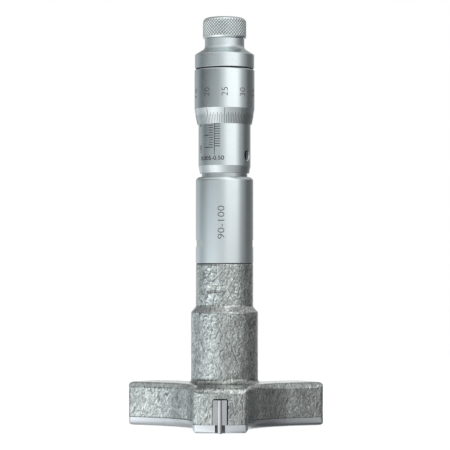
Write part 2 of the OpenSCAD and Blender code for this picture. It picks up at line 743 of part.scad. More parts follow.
// Slotted set screw that locks the sleeve to the barrel
module sleeve_screw() {
    slot = slot_share * sleeve_screw_d;
    color("dimgray") difference() {
        sleeve_screw_axis(sleeve_screw_d, sleeve_screw_inner, sleeve_screw_outer);
        translate([0, 0, sleeve_foot + sleeve_screw_rise]) rotate(sleeve_screw_angle)
            translate([sleeve_screw_outer - slot, -slot / 2, -sleeve_screw_d])
                cube([2 * slot, slot, 2 * sleeve_screw_d]);
    }
}

// Micrometer screw that turns with the thimble
module spindle() {
    thread_start = thread_bottom - drive_down - thread_relief;
    plain_r = spindle_d / 2 - spindle_relief;
    color("lightgray") difference() {
        turned([
            [0, ball_top], [plain_r, ball_top], [plain_r, thread_start],
            [spindle_d / 2, thread_start], [spindle_d / 2, web_bottom], [seat_d / 2, web_bottom],
            [seat_d / 2 - seat_taper, thimble_top], [spindle_end_d / 2, thimble_top],
            [spindle_end_d / 2, spindle_top], [0, spindle_top]
        ]);
        rod(ratchet_screw_d, ratchet_screw_tip, spindle_top + cut);
    }
}

// Graduated thimble with a tapered edge, seated on the spindle
module thimble() {
    color("silver") turned([
        [thimble_bore_r, thimble_edge], [bevel_r, thimble_edge], [thimble_r, thimble_edge + bevel_h],
        [thimble_r, thimble_top - thimble_chamfer], [thimble_r - thimble_chamfer, thimble_top],
        [seat_d / 2 - seat_taper, thimble_top], [seat_d / 2, web_bottom], [thimble_bore_r, web_bottom]
    ]);
}

// Dark ring between the thimble and the cap
module thimble_ring() {
    color("black") tube(2 * (cap_r - ring_inset), 2 * spindle_end_d, thimble_top, cap_bottom);
}

// Cap that clamps the thimble on the spindle and carries the ratchet
module thimble_cap() {
    color("silver") turned([
        [spindle_end_d / 2, cap_bottom], [cap_r - cap_chamfer, cap_bottom], [cap_r, cap_bottom + cap_chamfer],
        [cap_r, cap_bottom + cap_h], [cap_neck_d / 2, cap_neck_bottom], [cap_neck_d / 2, cap_top],
        [crown_d / 2, cap_top], [crown_d / 2, crown_bottom], [screw_hole_r, crown_bottom],
        [screw_hole_r, spindle_top], [spindle_end_d / 2, spindle_top]
    ]);
}

// Notches across the diameter that leave a ring of teeth, cut down from a height or up from it
module click_notches(tips, direction) {
    depth = notch_share * click_tooth_h;
    for (notch = [0:click_teeth / 2 - 1]) rotate(notch * 360 / click_teeth) translate([0, 0, tips])
        rotate([90, 0, 0]) linear_extrude(2 * crown_d, center = true)
            polygon([
                [-click_tooth_h, direction * cut], [click_tooth_h, direction * cut], [0, -direction * depth]
            ]);
}

// Ratchet crown let into the cap's neck
module ratchet_crown() {
    color("dimgray") difference() {
        turned([
            [screw_hole_r, crown_bottom], [crown_d / 2, crown_bottom],
            [crown_d / 2, crown_top + click_tooth_h], [tooth_inner_r, crown_top + click_tooth_h],
            [tooth_inner_r, crown_top], [screw_hole_r, crown_top]
        ]);
        click_notches(crown_top + click_tooth_h, 1);
    }
}

// Click disc keyed to the knob, drawn at the moment when its teeth slip over the crown's
module click_disc() {
    color("dimgray") difference() {
        union() {
            turned([
                [screw_hole_r, disc_bottom], [tooth_inner_r, disc_bottom],
                [tooth_inner_r, disc_bottom - click_tooth_h], [disc_r, disc_bottom - click_tooth_h],
                [disc_r, disc_top], [screw_hole_r, disc_top]
            ]);
            for (side = [0, 180]) rotate(side) translate([tooth_inner_r, -key_w / 2, disc_bottom])
                cube([key_reach - tooth_inner_r, key_w, disc_t]);
        }
        click_notches(disc_bottom - click_tooth_h, -1);
    }
}

// Spring that presses the click disc onto the crown
module ratchet_spring() {
    color("lightsteelblue") translate([0, 0, disc_top])
        spring(ratchet_spring_d, ratchet_spring_wire, ratchet_spring_l, ratchet_spring_turns);
}

// Slotted screw that holds the ratchet on the spindle
module ratchet_screw() {
    slot = ratchet_screw_head_h / 2;
    color("dimgray") difference() {
        union() {
            rod(ratchet_screw_d, ratchet_screw_tip, screw_seat + cut);
            rod(ratchet_screw_head_d, screw_seat, screw_seat + ratchet_screw_head_h);
        }
        translate([-ratchet_screw_head_d, -slot, screw_seat + slot])
            cube([2 * ratchet_screw_head_d, 2 * slot, ratchet_screw_head_h]);
    }
}

// Knurled ratchet knob, hollow for the click disc and its spring
module ratchet_knob() {
    recess_r = ratchet_screw_head_d / 2 + knob_gap;
    recess_floor = screw_seat - knob_gap;
    key_slot = key_w + 2 * knob_gap;
    color("lightgray") difference() {
        turned(concat(
            [
                [knob_cavity_r, knob_bottom], [knob_d / 2 - knob_chamfer, knob_bottom],
                [knob_d / 2, knob_bottom + knob_chamfer]
            ],
            arc([knob_d / 2 - knob_edge_r, knob_top - knob_edge_r], knob_edge_r, 0, 90),
            [
                [recess_r, knob_top], [recess_r, recess_floor], [screw_hole_r, recess_floor],
                [screw_hole_r, knob_roof], [knob_cavity_r, knob_roof]
            ]));
        translate([-key_reach - knob_gap, -key_slot / 2, knob_bottom - cut])
            cube([2 * (key_reach + knob_gap), key_slot, knob_roof - knob_bottom]);
    }
}

head_body();
bottom_plate();
cover_screws();
jaw(0);  // jaw_1
jaw(1);  // jaw_2
jaw(2);  // jaw_3
contact_strip(0);  // contact_strip_1
contact_strip(1);  // contact_strip_2
contact_strip(2);  // contact_strip_3
jaw_pin(0);  // jaw_pin_1
jaw_pin(1);  // jaw_pin_2
jaw_pin(2);  // jaw_pin_3
jaw_springs(0);  // jaw_springs_1
jaw_springs(1);  // jaw_springs_2
jaw_springs(2);  // jaw_springs_3
cone();
guide_bush();
push_rod();
thrust_ball();
seal_ring();
grip();
inner_barrel();
adjusting_nut();
sleeve();
sleeve_screw();
spindle();
thimble();
thimble_ring();
thimble_cap();
ratchet_crown();
click_disc();
ratchet_spring();
ratchet_screw();
ratchet_knob();
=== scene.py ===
"""Looks of the three point bore gauge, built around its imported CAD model."""

import math

import bmesh
import bpy
import numpy as np
from mathutils import Matrix, Vector, noise


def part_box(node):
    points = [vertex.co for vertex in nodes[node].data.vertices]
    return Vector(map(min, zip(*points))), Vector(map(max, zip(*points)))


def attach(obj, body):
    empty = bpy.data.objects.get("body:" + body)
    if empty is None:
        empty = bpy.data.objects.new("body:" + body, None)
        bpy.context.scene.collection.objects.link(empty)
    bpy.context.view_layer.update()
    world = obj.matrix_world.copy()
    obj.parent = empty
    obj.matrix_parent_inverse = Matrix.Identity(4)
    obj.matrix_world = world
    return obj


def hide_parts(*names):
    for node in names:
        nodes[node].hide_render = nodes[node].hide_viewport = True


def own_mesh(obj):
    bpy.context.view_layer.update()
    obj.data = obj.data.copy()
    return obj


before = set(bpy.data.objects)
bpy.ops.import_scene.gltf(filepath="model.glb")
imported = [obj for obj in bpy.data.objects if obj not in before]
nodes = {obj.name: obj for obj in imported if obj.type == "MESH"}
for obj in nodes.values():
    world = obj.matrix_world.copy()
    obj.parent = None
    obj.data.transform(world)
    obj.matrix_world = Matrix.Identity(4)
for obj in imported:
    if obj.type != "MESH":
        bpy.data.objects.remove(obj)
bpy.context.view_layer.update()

MM = 0.001
scene = bpy.context.scene


def top_of(node):
    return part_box(node)[1].z / MM


def bottom_of(node):
    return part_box(node)[0].z / MM


def radius_of(node):
    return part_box(node)[1].x / MM


# Sizes of the CAD model in millimetres

KNOB_BOTTOM = bottom_of("ratchet_knob")
KNOB_TOP = top_of("ratchet_knob")
KNOB_R = radius_of("ratchet_knob")
CAP_BOTTOM = bottom_of("thimble_cap")
CAP_TOP = top_of("thimble_cap")
CAP_R = radius_of("thimble_cap")
THIMBLE_EDGE = bottom_of("thimble")
THIMBLE_TOP = top_of("thimble")
THIMBLE_R = radius_of("thimble")
SLEEVE_FOOT = bottom_of("sleeve")
SLEEVE_TOP = top_of("sleeve")
SLEEVE_R = radius_of("sleeve")
GRIP_BOTTOM = top_of("seal_ring")
GRIP_TOP = top_of("grip")
GRIP_R = radius_of("grip")
NECK_TOP = top_of("head_body")
HUB_TOP = 47.1
PLATE_T = top_of("bottom_plate")
ARM_TOP = PLATE_T + 14.6
ARM_ANGLES = (-90, 30, 150)
JAWS = (1, 2, 3)


def arm_direction(angle):
    a = math.radians(angle)
    return math.cos(a), math.sin(a)


def arm_coords(x, y, angle):
    """Distance along an arm and across it, in mm."""
    c, s = arm_direction(angle)
    return x * c + y * s, -x * s + y * c


def rise(value, start, end):
    """0 at start, 1 at end and straight between them; start may lie above end."""
    return np.clip((value - start) / (end - start), 0, 1)


# Node helpers

NOISE_LOW = 0.3
NOISE_HIGH = 0.7


def node_material(name):
    mat = bpy.data.materials.new(name)
    mat.use_nodes = True
    return mat, mat.node_tree, mat.node_tree.nodes["Principled BSDF"]


def object_coords(tree):
    return tree.nodes.new("ShaderNodeTexCoord").outputs["Object"]


def noise_node(tree, coords, scale, detail, rough=0.5, stretch=None, warp=0.0, shift=(0, 0, 0)):
    if stretch:
        mapping = tree.nodes.new("ShaderNodeMapping")
        mapping.inputs["Scale"].default_value = stretch
        mapping.inputs["Location"].default_value = shift
        tree.links.new(coords, mapping.inputs["Vector"])
        coords = mapping.outputs["Vector"]
    tex = tree.nodes.new("ShaderNodeTexNoise")
    tex.inputs["Scale"].default_value = scale
    tex.inputs["Detail"].default_value = detail
    tex.inputs["Roughness"].default_value = rough
    tex.inputs["Distortion"].default_value = warp
    tree.links.new(coords, tex.inputs["Vector"])
    return tex.outputs["Fac"]


def ramp_node(tree, value, stops):
    """Colour by a value, from stops of (position, colour)."""
    ramp = tree.nodes.new("ShaderNodeValToRGB")
    points = ramp.color_ramp.elements
    while len(points) < len(stops):
        points.new(0.5)
    for point, (position, colour) in zip(points, stops):
        point.position = position
        point.color = (*colour, 1)
    tree.links.new(value, ramp.inputs["Fac"])
    return ramp.outputs["Color"]


def range_node(tree, value, low, high, from_low=NOISE_LOW, from_high=NOISE_HIGH):
    node = tree.nodes.new("ShaderNodeMapRange")
    node.inputs["From Min"].default_value = from_low
    node.inputs["From Max"].default_value = from_high
    node.inputs["To Min"].default_value = low
    node.inputs["To Max"].default_value = high
    tree.links.new(value, node.inputs["Value"])
    return node.outputs["Result"]


def set_or_link(tree, socket, value):
    if isinstance(value, bpy.types.NodeSocket):
        tree.links.new(value, socket)
    else:
        socket.default_value = value


def math_node(tree, operation, *values):
    """Math on values that are numbers or sockets."""
    node = tree.nodes.new("ShaderNodeMath")
    node.operation = operation
    for socket, value in zip(node.inputs, values):
        set_or_link(tree, socket, value)
    return node.outputs[0]


def mix_node(tree, kind, factor, a, b):
    """Mixes two colours; each of them and the factor is a value or a socket."""
    node = tree.nodes.new("ShaderNodeMix")
    node.data_type = "RGBA"
    node.blend_type = kind
    for name, value in (("Factor", factor), ("A", a), ("B", b)):
        socket = [i for i in node.inputs if i.name == name and i.enabled][0]
        set_or_link(tree, socket, value)
    return [o for o in node.outputs if o.enabled][0]


def weight_node(tree, name):
    """A point attribute of the mesh as a factor."""
    node = tree.nodes.new("ShaderNodeAttribute")
    node.attribute_name = name
    return node.outputs["Fac"]


def bump_node(tree, height, shader, distance):
    bump = tree.nodes.new("ShaderNodeBump")
    bump.inputs["Strength"].default_value = 1
    bump.inputs["Distance"].default_value = distance
    tree.links.new(height, bump.inputs["Height"])
    tree.links.new(bump.outputs["Normal"], shader.inputs["Normal"])


def separate(tree, vector):
    node = tree.nodes.new("ShaderNodeSeparateXYZ")
    tree.links.new(vector, node.inputs["Vector"])
    return node.outputs


def grey(value, blue=0.0):
    """A grey of some brightness, made cooler by a share of blue."""
    return (value * (1 - blue), value, value * (1 + 0.6 * blue))


# Materials

WHITE = grey(1)
METAL_CLOUD = 220.0
METAL_SPREAD = 0.12
DULL_CLOUD = 1800.0
DULL_SPREAD = 0.1
DULL_BUMP = 0.00001


def metal(name, light, dark, roughness, grain, bump):
    """Bare metal with a machined grain."""
    mat, tree, shader = node_material(name)
    shader.inputs["Metallic"].default_value = 1
    coords = object_coords(tree)
    cloud = noise_node(tree, coords, scale=METAL_CLOUD, detail=4)
    lines = noise_node(tree, coords, scale=1.0, detail=3, stretch=grain)
    colour = ramp_node(tree, cloud, [(NOISE_LOW, dark), (NOISE_HIGH, light)])
    gloss = range_node(tree, lines, (1 - METAL_SPREAD) * roughness, (1 + METAL_SPREAD) * roughness)
    tree.links.new(colour, shader.inputs["Base Color"])
    tree.links.new(gloss, shader.inputs["Roughness"])
    bump_node(tree, lines, shader, bump)
    return mat


def dull(name, light, dark, roughness):
    """Matt dark material for rubber and for the paint in engraved lines."""
    mat, tree, shader = node_material(name)
    cloud = noise_node(tree, object_coords(tree), scale=DULL_CLOUD, detail=4)
    colour = ramp_node(tree, cloud, [(NOISE_LOW, dark), (NOISE_HIGH, light)])
    gloss = range_node(tree, cloud, (1 - DULL_SPREAD) * roughness, (1 + DULL_SPREAD) * roughness)
    tree.links.new(colour, shader.inputs["Base Color"])
    tree.links.new(gloss, shader.inputs["Roughness"])
    bump_node(tree, cloud, shader, DULL_BUMP)
    return mat


# Texture scales along x, y and z, for each metre, and depths of the grain in metres
TURNED = (400.0, 400.0, 9000.0)
GROUND = (9000.0, 900.0, 9000.0)
FAINT = 1e-7
FINE = 3e-7
COARSE = 4e-6
CHROME = ((0.755, 0.825, 0.84), (0.735, 0.805, 0.82))
BRIGHT = ((0.84, 0.885, 0.92), (0.81, 0.855, 0.89))

# Light and dark tone, roughness, grain and its depth
METALS = {
    "satin_chrome": (*CHROME, 0.20, TURNED, FINE),
    "cap_steel": (*CHROME, 0.27, TURNED, FINE),
    "turned_steel": (*CHROME, 0.36, TURNED, FINE),
    "flat_steel_and_shade": ((0.66, 0.74, 0.70), (0.62, 0.70, 0.66), 0.24, TURNED, FINE),
    "shaded_cone_steel": ((0.66, 0.72, 0.73), (0.64, 0.70, 0.71), 0.24, TURNED, FINE),
    # the inner barrel's steel, drawn darker as painted shade on its collar between sleeve and grip
    "barrel_steel_and_collar_shade": ((0.58, 0.62, 0.63), (0.52, 0.56, 0.57), 0.26, TURNED, COARSE),
    "bronze": ((0.62, 0.40, 0.20), (0.50, 0.31, 0.15), 0.34, TURNED, COARSE),
    "ground_steel": (*BRIGHT, 0.22, GROUND, FAINT),
    "shaded_side_steel": (*BRIGHT, 0.22, GROUND, FAINT),
    "jaw_steel": ((0.60, 0.61, 0.62), (0.54, 0.55, 0.56), 0.22, GROUND, 4e-7),
    "carbide": ((0.74, 0.74, 0.76), (0.66, 0.66, 0.68), 0.16, (3000.0, 3000.0, 9000.0), FINE),
    "knurled_steel": ((0.93, 1.0, 1.0), (0.88, 0.95, 0.95), 0.22, (1500.0,) * 3, 1e-6),
    # dark steel: painted shade on the plate's slot walls, and the set screw's own darker steel
    "slot_shade_and_screw_steel": ((0.22, 0.225, 0.235), (0.16, 0.165, 0.17), 0.35, (3000.0,) * 3, COARSE),
    "blackened_steel": ((0.055, 0.056, 0.060), (0.030, 0.031, 0.034), 0.38, (4000.0,) * 3, COARSE),
    "spring_steel": ((0.50, 0.51, 0.54), (0.38, 0.39, 0.42), 0.30, (5000.0,) * 3, COARSE),
}

# Light and dark tone and roughness
DULLS = {
    "black_rubber": ((0.050, 0.050, 0.052), (0.036, 0.036, 0.038), 0.4),
    "ring_black": ((0.010, 0.010, 0.011), (0.006, 0.006, 0.007), 0.6),
    "black_paint": ((0.030, 0.030, 0.034), (0.018, 0.018, 0.021), 0.55),
}
FINISH = {name: metal(name, *values) for name, values in METALS.items()}
FINISH.update({name: dull(name, *values) for name, values in DULLS.items()})


def tone_by(finish, attribute, tone):
    """Mixes another tone into a finish by a point attribute."""
    tree = FINISH[finish].node_tree
    base = tree.nodes["Principled BSDF"].inputs["Base Color"]
    plain = base.links[0].from_socket
    tree.links.new(mix_node(tree, "MIX", weight_node(tree, attribute), plain, (*tone, 1)), base)


# painted shade: the knurl's grooves are drawn darker in the steel's colour
tone_by("knurled_steel", "groove_painted_shade", (0.07, 0.075, 0.08))
# painted shade on the cover plate's sides between the arms
tone_by("shaded_side_steel", "inner", (0.56, 0.59, 0.61))

# Hammered paint: texture scales for each metre, and tones of the paint from the painted shade to the
# painted highlight of its folds
FOLDS = (530.0, 530.0, 380.0)
FOLD_LIGHT_SHIFT = (0.16, 0.05, -0.07)
FOLD_ROUGH = 0.55
FOLD_WARP = 0.8
FOLD_SLOPE = 0.25
FOLD_BUMP = 0.00004
FLAKES = (1900.0, 1900.0, 1300.0)
DRIFT = 170.0
RELIEF_SHADING_TONES = [(0.20, (0.27, 0.28, 0.27)), (0.40, (0.52, 0.555, 0.535)), (0.60, (0.745, 0.80, 0.78)),
               (0.78, (0.935, 1.0, 0.98))]
CREASE_SHADE_TONE = grey(0.55)
CREASE_SHADES = [(0.46, WHITE), (0.495, CREASE_SHADE_TONE), (0.505, CREASE_SHADE_TONE), (0.54, WHITE)]
CREASE_SHADE_SHARE = 0.8
SPECKS = [(0.36, grey(0.70)), (0.60, WHITE)]
SPECK_SHARE = 0.8
CLOUDS = [(0.35, (0.84, 0.84, 0.83)), (0.65, WHITE)]
NECK_CLOUD_SHARE = 0.1
FILLET_SHADE_TONE = (0.83, 0.83, 0.82)
EDGE_HIGHLIGHT_TONE = (0.93, 1.0, 1.0)
EDGE_HIGHLIGHT_SHARE = 0.3
BARE_SHADE_TONE = grey(0.03)
PAINT_METALLIC = 0.94
PAINT_ROUGH = (0.12, 0.20)
EDGE_ROUGH = 0.40


def folds_with_relief_shading(tree, coords):
    """Wet folds, and painted shade and highlight of their relief: lighter where a fold rises one way and
    darker where it falls, as folds lit from the side look.
    """
    here = noise_node(tree, coords, 1.0, 3, FOLD_ROUGH, FOLDS, FOLD_WARP)
    there = noise_node(tree, coords, 1.0, 3, FOLD_ROUGH, FOLDS, FOLD_WARP, FOLD_LIGHT_SHIFT)
    slope = math_node(tree, "SUBTRACT", here, there)
    return here, range_node(tree, slope, 0.0, 1.0, -FOLD_SLOPE, FOLD_SLOPE)


def hammered():
    """Grey hammer finish: bright flakes in glossy enamel with wet folds, with painted shade and highlight
    on their relief and painted shade in their creases, on bare faces and in the hub's foot fillet, and a
    painted highlight on the left arm edges.
    """
    mat, tree, shader = node_material("hammered_paint")
    coords = object_coords(tree)
    flakes = noise_node(tree, coords, scale=1.0, detail=2, stretch=FLAKES)
    drift = noise_node(tree, coords, scale=DRIFT, detail=3)
    folds, relief_shading = folds_with_relief_shading(tree, coords)
    # the painted shade and highlight of the folds set the paint's tone
    colour = ramp_node(tree, relief_shading, RELIEF_SHADING_TONES)
    # painted shade along the folds' creases
    colour = mix_node(tree, "MULTIPLY", CREASE_SHADE_SHARE, colour, ramp_node(tree, folds, CREASE_SHADES))
    colour = mix_node(tree, "MULTIPLY", SPECK_SHARE, colour, ramp_node(tree, flakes, SPECKS))
    height = separate(tree, coords)["Z"]
    below_neck = range_node(tree, height, 1.0, NECK_CLOUD_SHARE, (HUB_TOP - 1) * MM, HUB_TOP * MM)
    colour = mix_node(tree, "MULTIPLY", below_neck, colour, ramp_node(tree, drift, CLOUDS))
    # painted shade in the fillet at the hub's foot
    colour = mix_node(tree, "MULTIPLY", weight_node(tree, "fillet_shade"), colour, (*FILLET_SHADE_TONE, 1))
    # painted highlight on the arms' rounded top edges on the left side
    left_edge_highlight = range_node(tree, weight_node(tree, "left_edge_highlight"), 0.0, EDGE_HIGHLIGHT_SHARE, 0.0, 1.0)
    colour = mix_node(tree, "MIX", left_edge_highlight, colour, (*EDGE_HIGHLIGHT_TONE, 1))
    # painted shade: bare faces in the slots, pockets and bores are drawn near black, the neck flat's ledge
    # half as dark
    colour = mix_node(tree, "MIX", weight_node(tree, "paint_and_shade"), (*BARE_SHADE_TONE, 1), colour)
    gloss = math_node(tree, "MULTIPLY_ADD", weight_node(tree, "edge"), EDGE_ROUGH,
                      range_node(tree, drift, *PAINT_ROUGH))
    tree.links.new(colour, shader.inputs["Base Color"])
    tree.links.new(gloss, shader.inputs["Roughness"])
    shader.inputs["Metallic"].default_value = PAINT_METALLIC
    bump_node(tree, folds, shader, FOLD_BUMP)
    return mat


FINISH["hammered_paint"] = hammered()

# Mesh helpers

SHARP = 35
SOFT_SHARP = 60
FLAT_ANGLE = 0.5
EASED_ANGLE = 25
ROUND_STEPS = 256
CORNER_POINTS = 9
WELD = 2e-6


def linked(name, data):
    obj = bpy.data.objects.new(name, data)
    scene.collection.objects.link(obj)
    return obj


def add_object(name, mesh, finish, body, replaced=()):
    obj = linked(name, mesh)
    mesh.materials.clear()
    mesh.materials.append(FINISH[finish])
    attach(obj, body)
    if replaced:
        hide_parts(*replaced)
    return obj


def add_finishes(obj, *finishes):
    """More finishes for single faces, at material index 1 and up."""
    for finish in finishes:
        obj.data.materials.append(FINISH[finish])


def add_weight(mesh, name, values):
    """A point attribute that materials read."""
    weight = mesh.attributes.new(name, "FLOAT", "POINT")
    weight.data.foreach_set("value", values.astype(np.float32))


def smooth_faces(mesh, sharp):
    mesh.shade_smooth()
    mesh.set_sharp_from_angle(angle=math.radians(sharp))
    return mesh


def mesh_from(name, bm, sharp=SHARP):
    bmesh.ops.recalc_face_normals(bm, faces=bm.faces)
    mesh = bpy.data.meshes.new(name)
    bm.to_mesh(mesh)
    bm.free()
    return smooth_faces(mesh, sharp)


def final_mesh(obj):
    """The object's mesh with its modifiers applied."""
    bpy.context.view_layer.update()
    return bpy.data.meshes.new_from_object(obj.evaluated_get(bpy.context.evaluated_depsgraph_get()))


def even_normals(obj):
    """Keeps broad faces flat shaded next to the narrow faces of their rounded edges."""
    modifier = obj.modifiers.new("even_normals", "WEIGHTED_NORMAL")
    modifier.keep_sharp = True
    return obj


def carve(mesh, cutters):
    """The mesh with closed cutter meshes taken out of it."""
    blank = linked("blank", mesh)
    tools = []
    for cutter in cutters:
        tool = linked("cutter", cutter)
        modifier = blank.modifiers.new("cut", "BOOLEAN")
        modifier.operation = "DIFFERENCE"
        modifier.solver = "EXACT"
        modifier.object = tool
        tools.append(tool)
    carved = final_mesh(blank)
    name = mesh.name
    for obj in [blank] + tools:
        used = obj.data
        bpy.data.objects.remove(obj)
        bpy.data.meshes.remove(used)
    carved.name = name
    return smooth_faces(carved, SHARP)


def cone_mesh(start, end, start_r, end_r):
    """Closed cone or cylinder between two points, sizes in metres."""
    bm = bmesh.new()
    along = end - start
    place = Matrix.Translation((start + end) / 2) @ along.to_track_quat("Z", "Y").to_matrix().to_4x4()
    bmesh.ops.create_cone(bm, cap_ends=True, segments=64, radius1=start_r, radius2=end_r,
                          depth=along.length, matrix=place)
    return mesh_from("cone", bm)


def box_mesh(centre, size, turn):
    """Closed box of a size about a centre, turned about the vertical, sizes in metres."""
    bm = bmesh.new()
    place = Matrix.Translation(centre) @ Matrix.Rotation(turn, 4, "Z") @ Matrix.Diagonal((*size, 1))
    bmesh.ops.create_cube(bm, size=1, matrix=place)
    return mesh_from("box", bm)


def quarter_arc(centre, radius, steps):
    """Points of an outer rounding, from its side to its top, in a section of radius and height."""
    angles = np.linspace(0, math.pi / 2, steps + 1)
    return [(centre[0] + radius * math.cos(a), centre[1] + radius * math.sin(a)) for a in angles]


def rounded(corners):
    """Closed section from corners of (radius, height, rounding)."""
    points = []
    count = len(corners)
    for i, (r, z, size) in enumerate(corners):
        here = Vector((r, z))
        if size <= 0:
            points.append((r, z))
            continue
        back = (Vector(corners[i - 1][:2]) - here).normalized()
        ahead = (Vector(corners[(i + 1) % count][:2]) - here).normalized()
        for t in np.linspace(0, 1, CORNER_POINTS):
            q = here + back * size * (1 - t) ** 2 + ahead * size * t ** 2
            points.append((q.x, q.y))
    return points


def revolve(name, section, steps=ROUND_STEPS, relief=None, sharp=SHARP):
    """Closed ring of a section of (radius, height) in mm, turned about the gauge's axis."""
    section = np.array(section, float)
    turns = np.linspace(0, 2 * math.pi, steps, endpoint=False)[:, None]
    r = np.repeat(section[None, :, 0], steps, 0)
    z = np.repeat(section[None, :, 1], steps, 0)
    if relief:
        r = r + relief(turns, r, z)
    points = np.stack([r * np.sin(turns), -r * np.cos(turns), z], -1).reshape(-1, 3) * MM
    count = len(section)
    bm = bmesh.new()
    verts = [bm.verts.new(p) for p in points]
    for i in range(steps):
        a = i * count
        b = (i + 1) % steps * count
        for j in range(count):
            k = (j + 1) % count
            bm.faces.new((verts[a + j], verts[b + j], verts[b + k], verts[a + k]))
    return mesh_from(name, bm, sharp)


def add_face(bm, corners):
    """Adds a face unless the same one is there."""
    if bm.faces.get(corners) is None:
        bm.faces.new(corners)


def welded(node):
    """The CAD node's own surface as one closed bmesh."""
    source = nodes[node].data
    bm = bmesh.new()
    verts = [bm.verts.new(v.co) for v in source.vertices]
    for face in source.polygons:
        add_face(bm, [verts[i] for i in face.vertices])
    bmesh.ops.remove_doubles(bm, verts=bm.verts, dist=WELD)
    return bm


def eased(name, node, size, finish, body):
    """Copy of a CAD node with its outer edges broken by a small rounding, standing for that node."""
    bm = welded(node)
    bmesh.ops.dissolve_limit(bm, angle_limit=math.radians(FLAT_ANGLE), verts=bm.verts, edges=bm.edges)
    edges = [e for e in bm.edges if len(e.link_faces) == 2 and e.is_convex
             and e.calc_face_angle() > math.radians(EASED_ANGLE)]
    bmesh.ops.bevel(bm, geom=edges, offset=size * MM, offset_type="OFFSET", segments=2,
                    profile=0.5, affect="EDGES", clamp_overlap=True)
    return even_normals(add_object(name, mesh_from(name, bm), finish, body, (node,)))


def on_surface(theta, z, r):
    """Point at an angle in degrees right of the front, at a height and radius in mm."""
    a = math.radians(theta)
    return Vector((r * math.sin(a), -r * math.cos(a), z)) * MM


# Ink: how far it stands out of its surface and reaches into it, its longest edge and its numerals' mesh

INK_PROUD = 0.012
INK_SUNK = 0.05
INK_EDGE = 0.5
TEXT_DEPTH = 0.5
TEXT_STEPS = 4
TEXT_WELD = 1e-5
TEXT_SPLITS = 3


def ink_patch(bm, theta, z, radius, steps):
    """Thin closed strip of ink between two angles and two heights on a surface of revolution."""
    nt, nz = steps
    thetas = [theta[0] + (theta[1] - theta[0]) * i / nt for i in range(nt + 1)]
    heights = [z[0] + (z[1] - z[0]) * j / nz for j in range(nz + 1)]
    outer, inner = [
        [[bm.verts.new(on_surface(t, h, radius(h) + depth)) for t in thetas] for h in heights]
        for depth in (INK_PROUD, -INK_SUNK)]
    for rows in (outer, inner):
        for j in range(nz):
            for i in range(nt):
                bm.faces.new((rows[j][i], rows[j][i + 1], rows[j + 1][i + 1], rows[j + 1][i]))
    rim = ([(0, i) for i in range(nt)] + [(j, nt) for j in range(nz)]
           + [(nz, i) for i in range(nt, 0, -1)] + [(j, 0) for j in range(nz, 0, -1)])
    for (j0, i0), (j1, i1) in zip(rim, rim[1:] + rim[:1]):
        bm.faces.new((outer[j0][i0], outer[j1][i1], inner[j1][i1], inner[j0][i0]))


def text_glyphs(text, cap_height, length, weight):
    """Numerals as a closed flat bmesh of a length and height in mm, with short edges."""
    curve = bpy.data.curves.new("ink_text", "FONT")
    curve.body = text
    curve.align_x = "CENTER"
    curve.align_y = "CENTER"
    curve.extrude = TEXT_DEPTH
    curve.offset = weight
    curve.resolution_u = TEXT_STEPS
    carrier = linked("ink_text", curve)
    mesh = final_mesh(carrier)
    bpy.data.objects.remove(carrier)
    bpy.data.curves.remove(curve)
    glyphs = bmesh.new()
    glyphs.from_mesh(mesh)
    bpy.data.meshes.remove(mesh)
    bmesh.ops.remove_doubles(glyphs, verts=glyphs.verts, dist=TEXT_WELD)
    xs = [v.co.x for v in glyphs.verts]
    ys = [v.co.y for v in glyphs.verts]
    middle = ((min(xs) + max(xs)) / 2, (min(ys) + max(ys)) / 2)
    scale_x = length / (max(xs) - min(xs))
    scale_y = cap_height / (max(ys) - min(ys))
    for v in glyphs.verts:
        v.co.x = (v.co.x - middle[0]) * scale_x
        v.co.y = (v.co.y - middle[1]) * scale_y
    bmesh.ops.triangulate(glyphs, faces=glyphs.faces)
    for _ in range(TEXT_SPLITS):
        long_edges = [e for e in glyphs.edges if e.calc_length() > INK_EDGE
                      and e.verts[0].co.z * e.verts[1].co.z > 0]
        if not long_edges:
            break
        bmesh.ops.subdivide_edges(glyphs, edges=long_edges, cuts=1)
        bmesh.ops.triangulate(glyphs, faces=glyphs.faces)
    return glyphs


def add_text(bm, text, cap_height, length, theta, z, radius, upright, weight=0.0):
    """Numerals in ink, wrapped on a surface. Upright ones read along the surface, others read upwards."""
    glyphs = text_glyphs(text, cap_height, length, weight)
    mapped = {}
    for v in glyphs.verts:
        across = v.co.x if upright else -v.co.y
        h = z + (v.co.y if upright else v.co.x)
        angle = theta + math.degrees(across / radius(z))
        depth = INK_PROUD if v.co.z > 0 else -INK_SUNK
        mapped[v] = bm.verts.new(on_surface(angle, h, radius(h) + depth))
    for face in glyphs.faces:
        add_face(bm, [mapped[v] for v in face.verts])
    glyphs.free()


# Ratchet knob

KNURLS = 42
KNURL_PITCH = 1.32
KNURL_DEPTH = 0.34
KNURL_FLAT = 0.3
KNURL_STEPS = 16
KNURL_START = KNOB_BOTTOM + 0.8
KNURL_IN = 0.15
KNURL_END = KNOB_TOP - 0.9
KNURL_OUT = 0.4
GROOVE_SHADE_POWER = 2.4
KNOB_EDGE_R = 1.9
KNOB_ROW = 0.085
KNOB_FOOT_R = KNOB_R - 0.2
KNOB_CHAMFER = 0.1
KNOB_CAVITY_R = 5.35
KNOB_ROOF = KNOB_TOP - 1.9
RECESS_R = 2.95
RECESS_FLOOR = KNOB_TOP - 1.2
RECESS_CHAMFER = 0.15
SCREW_HOLE_R = 1.65


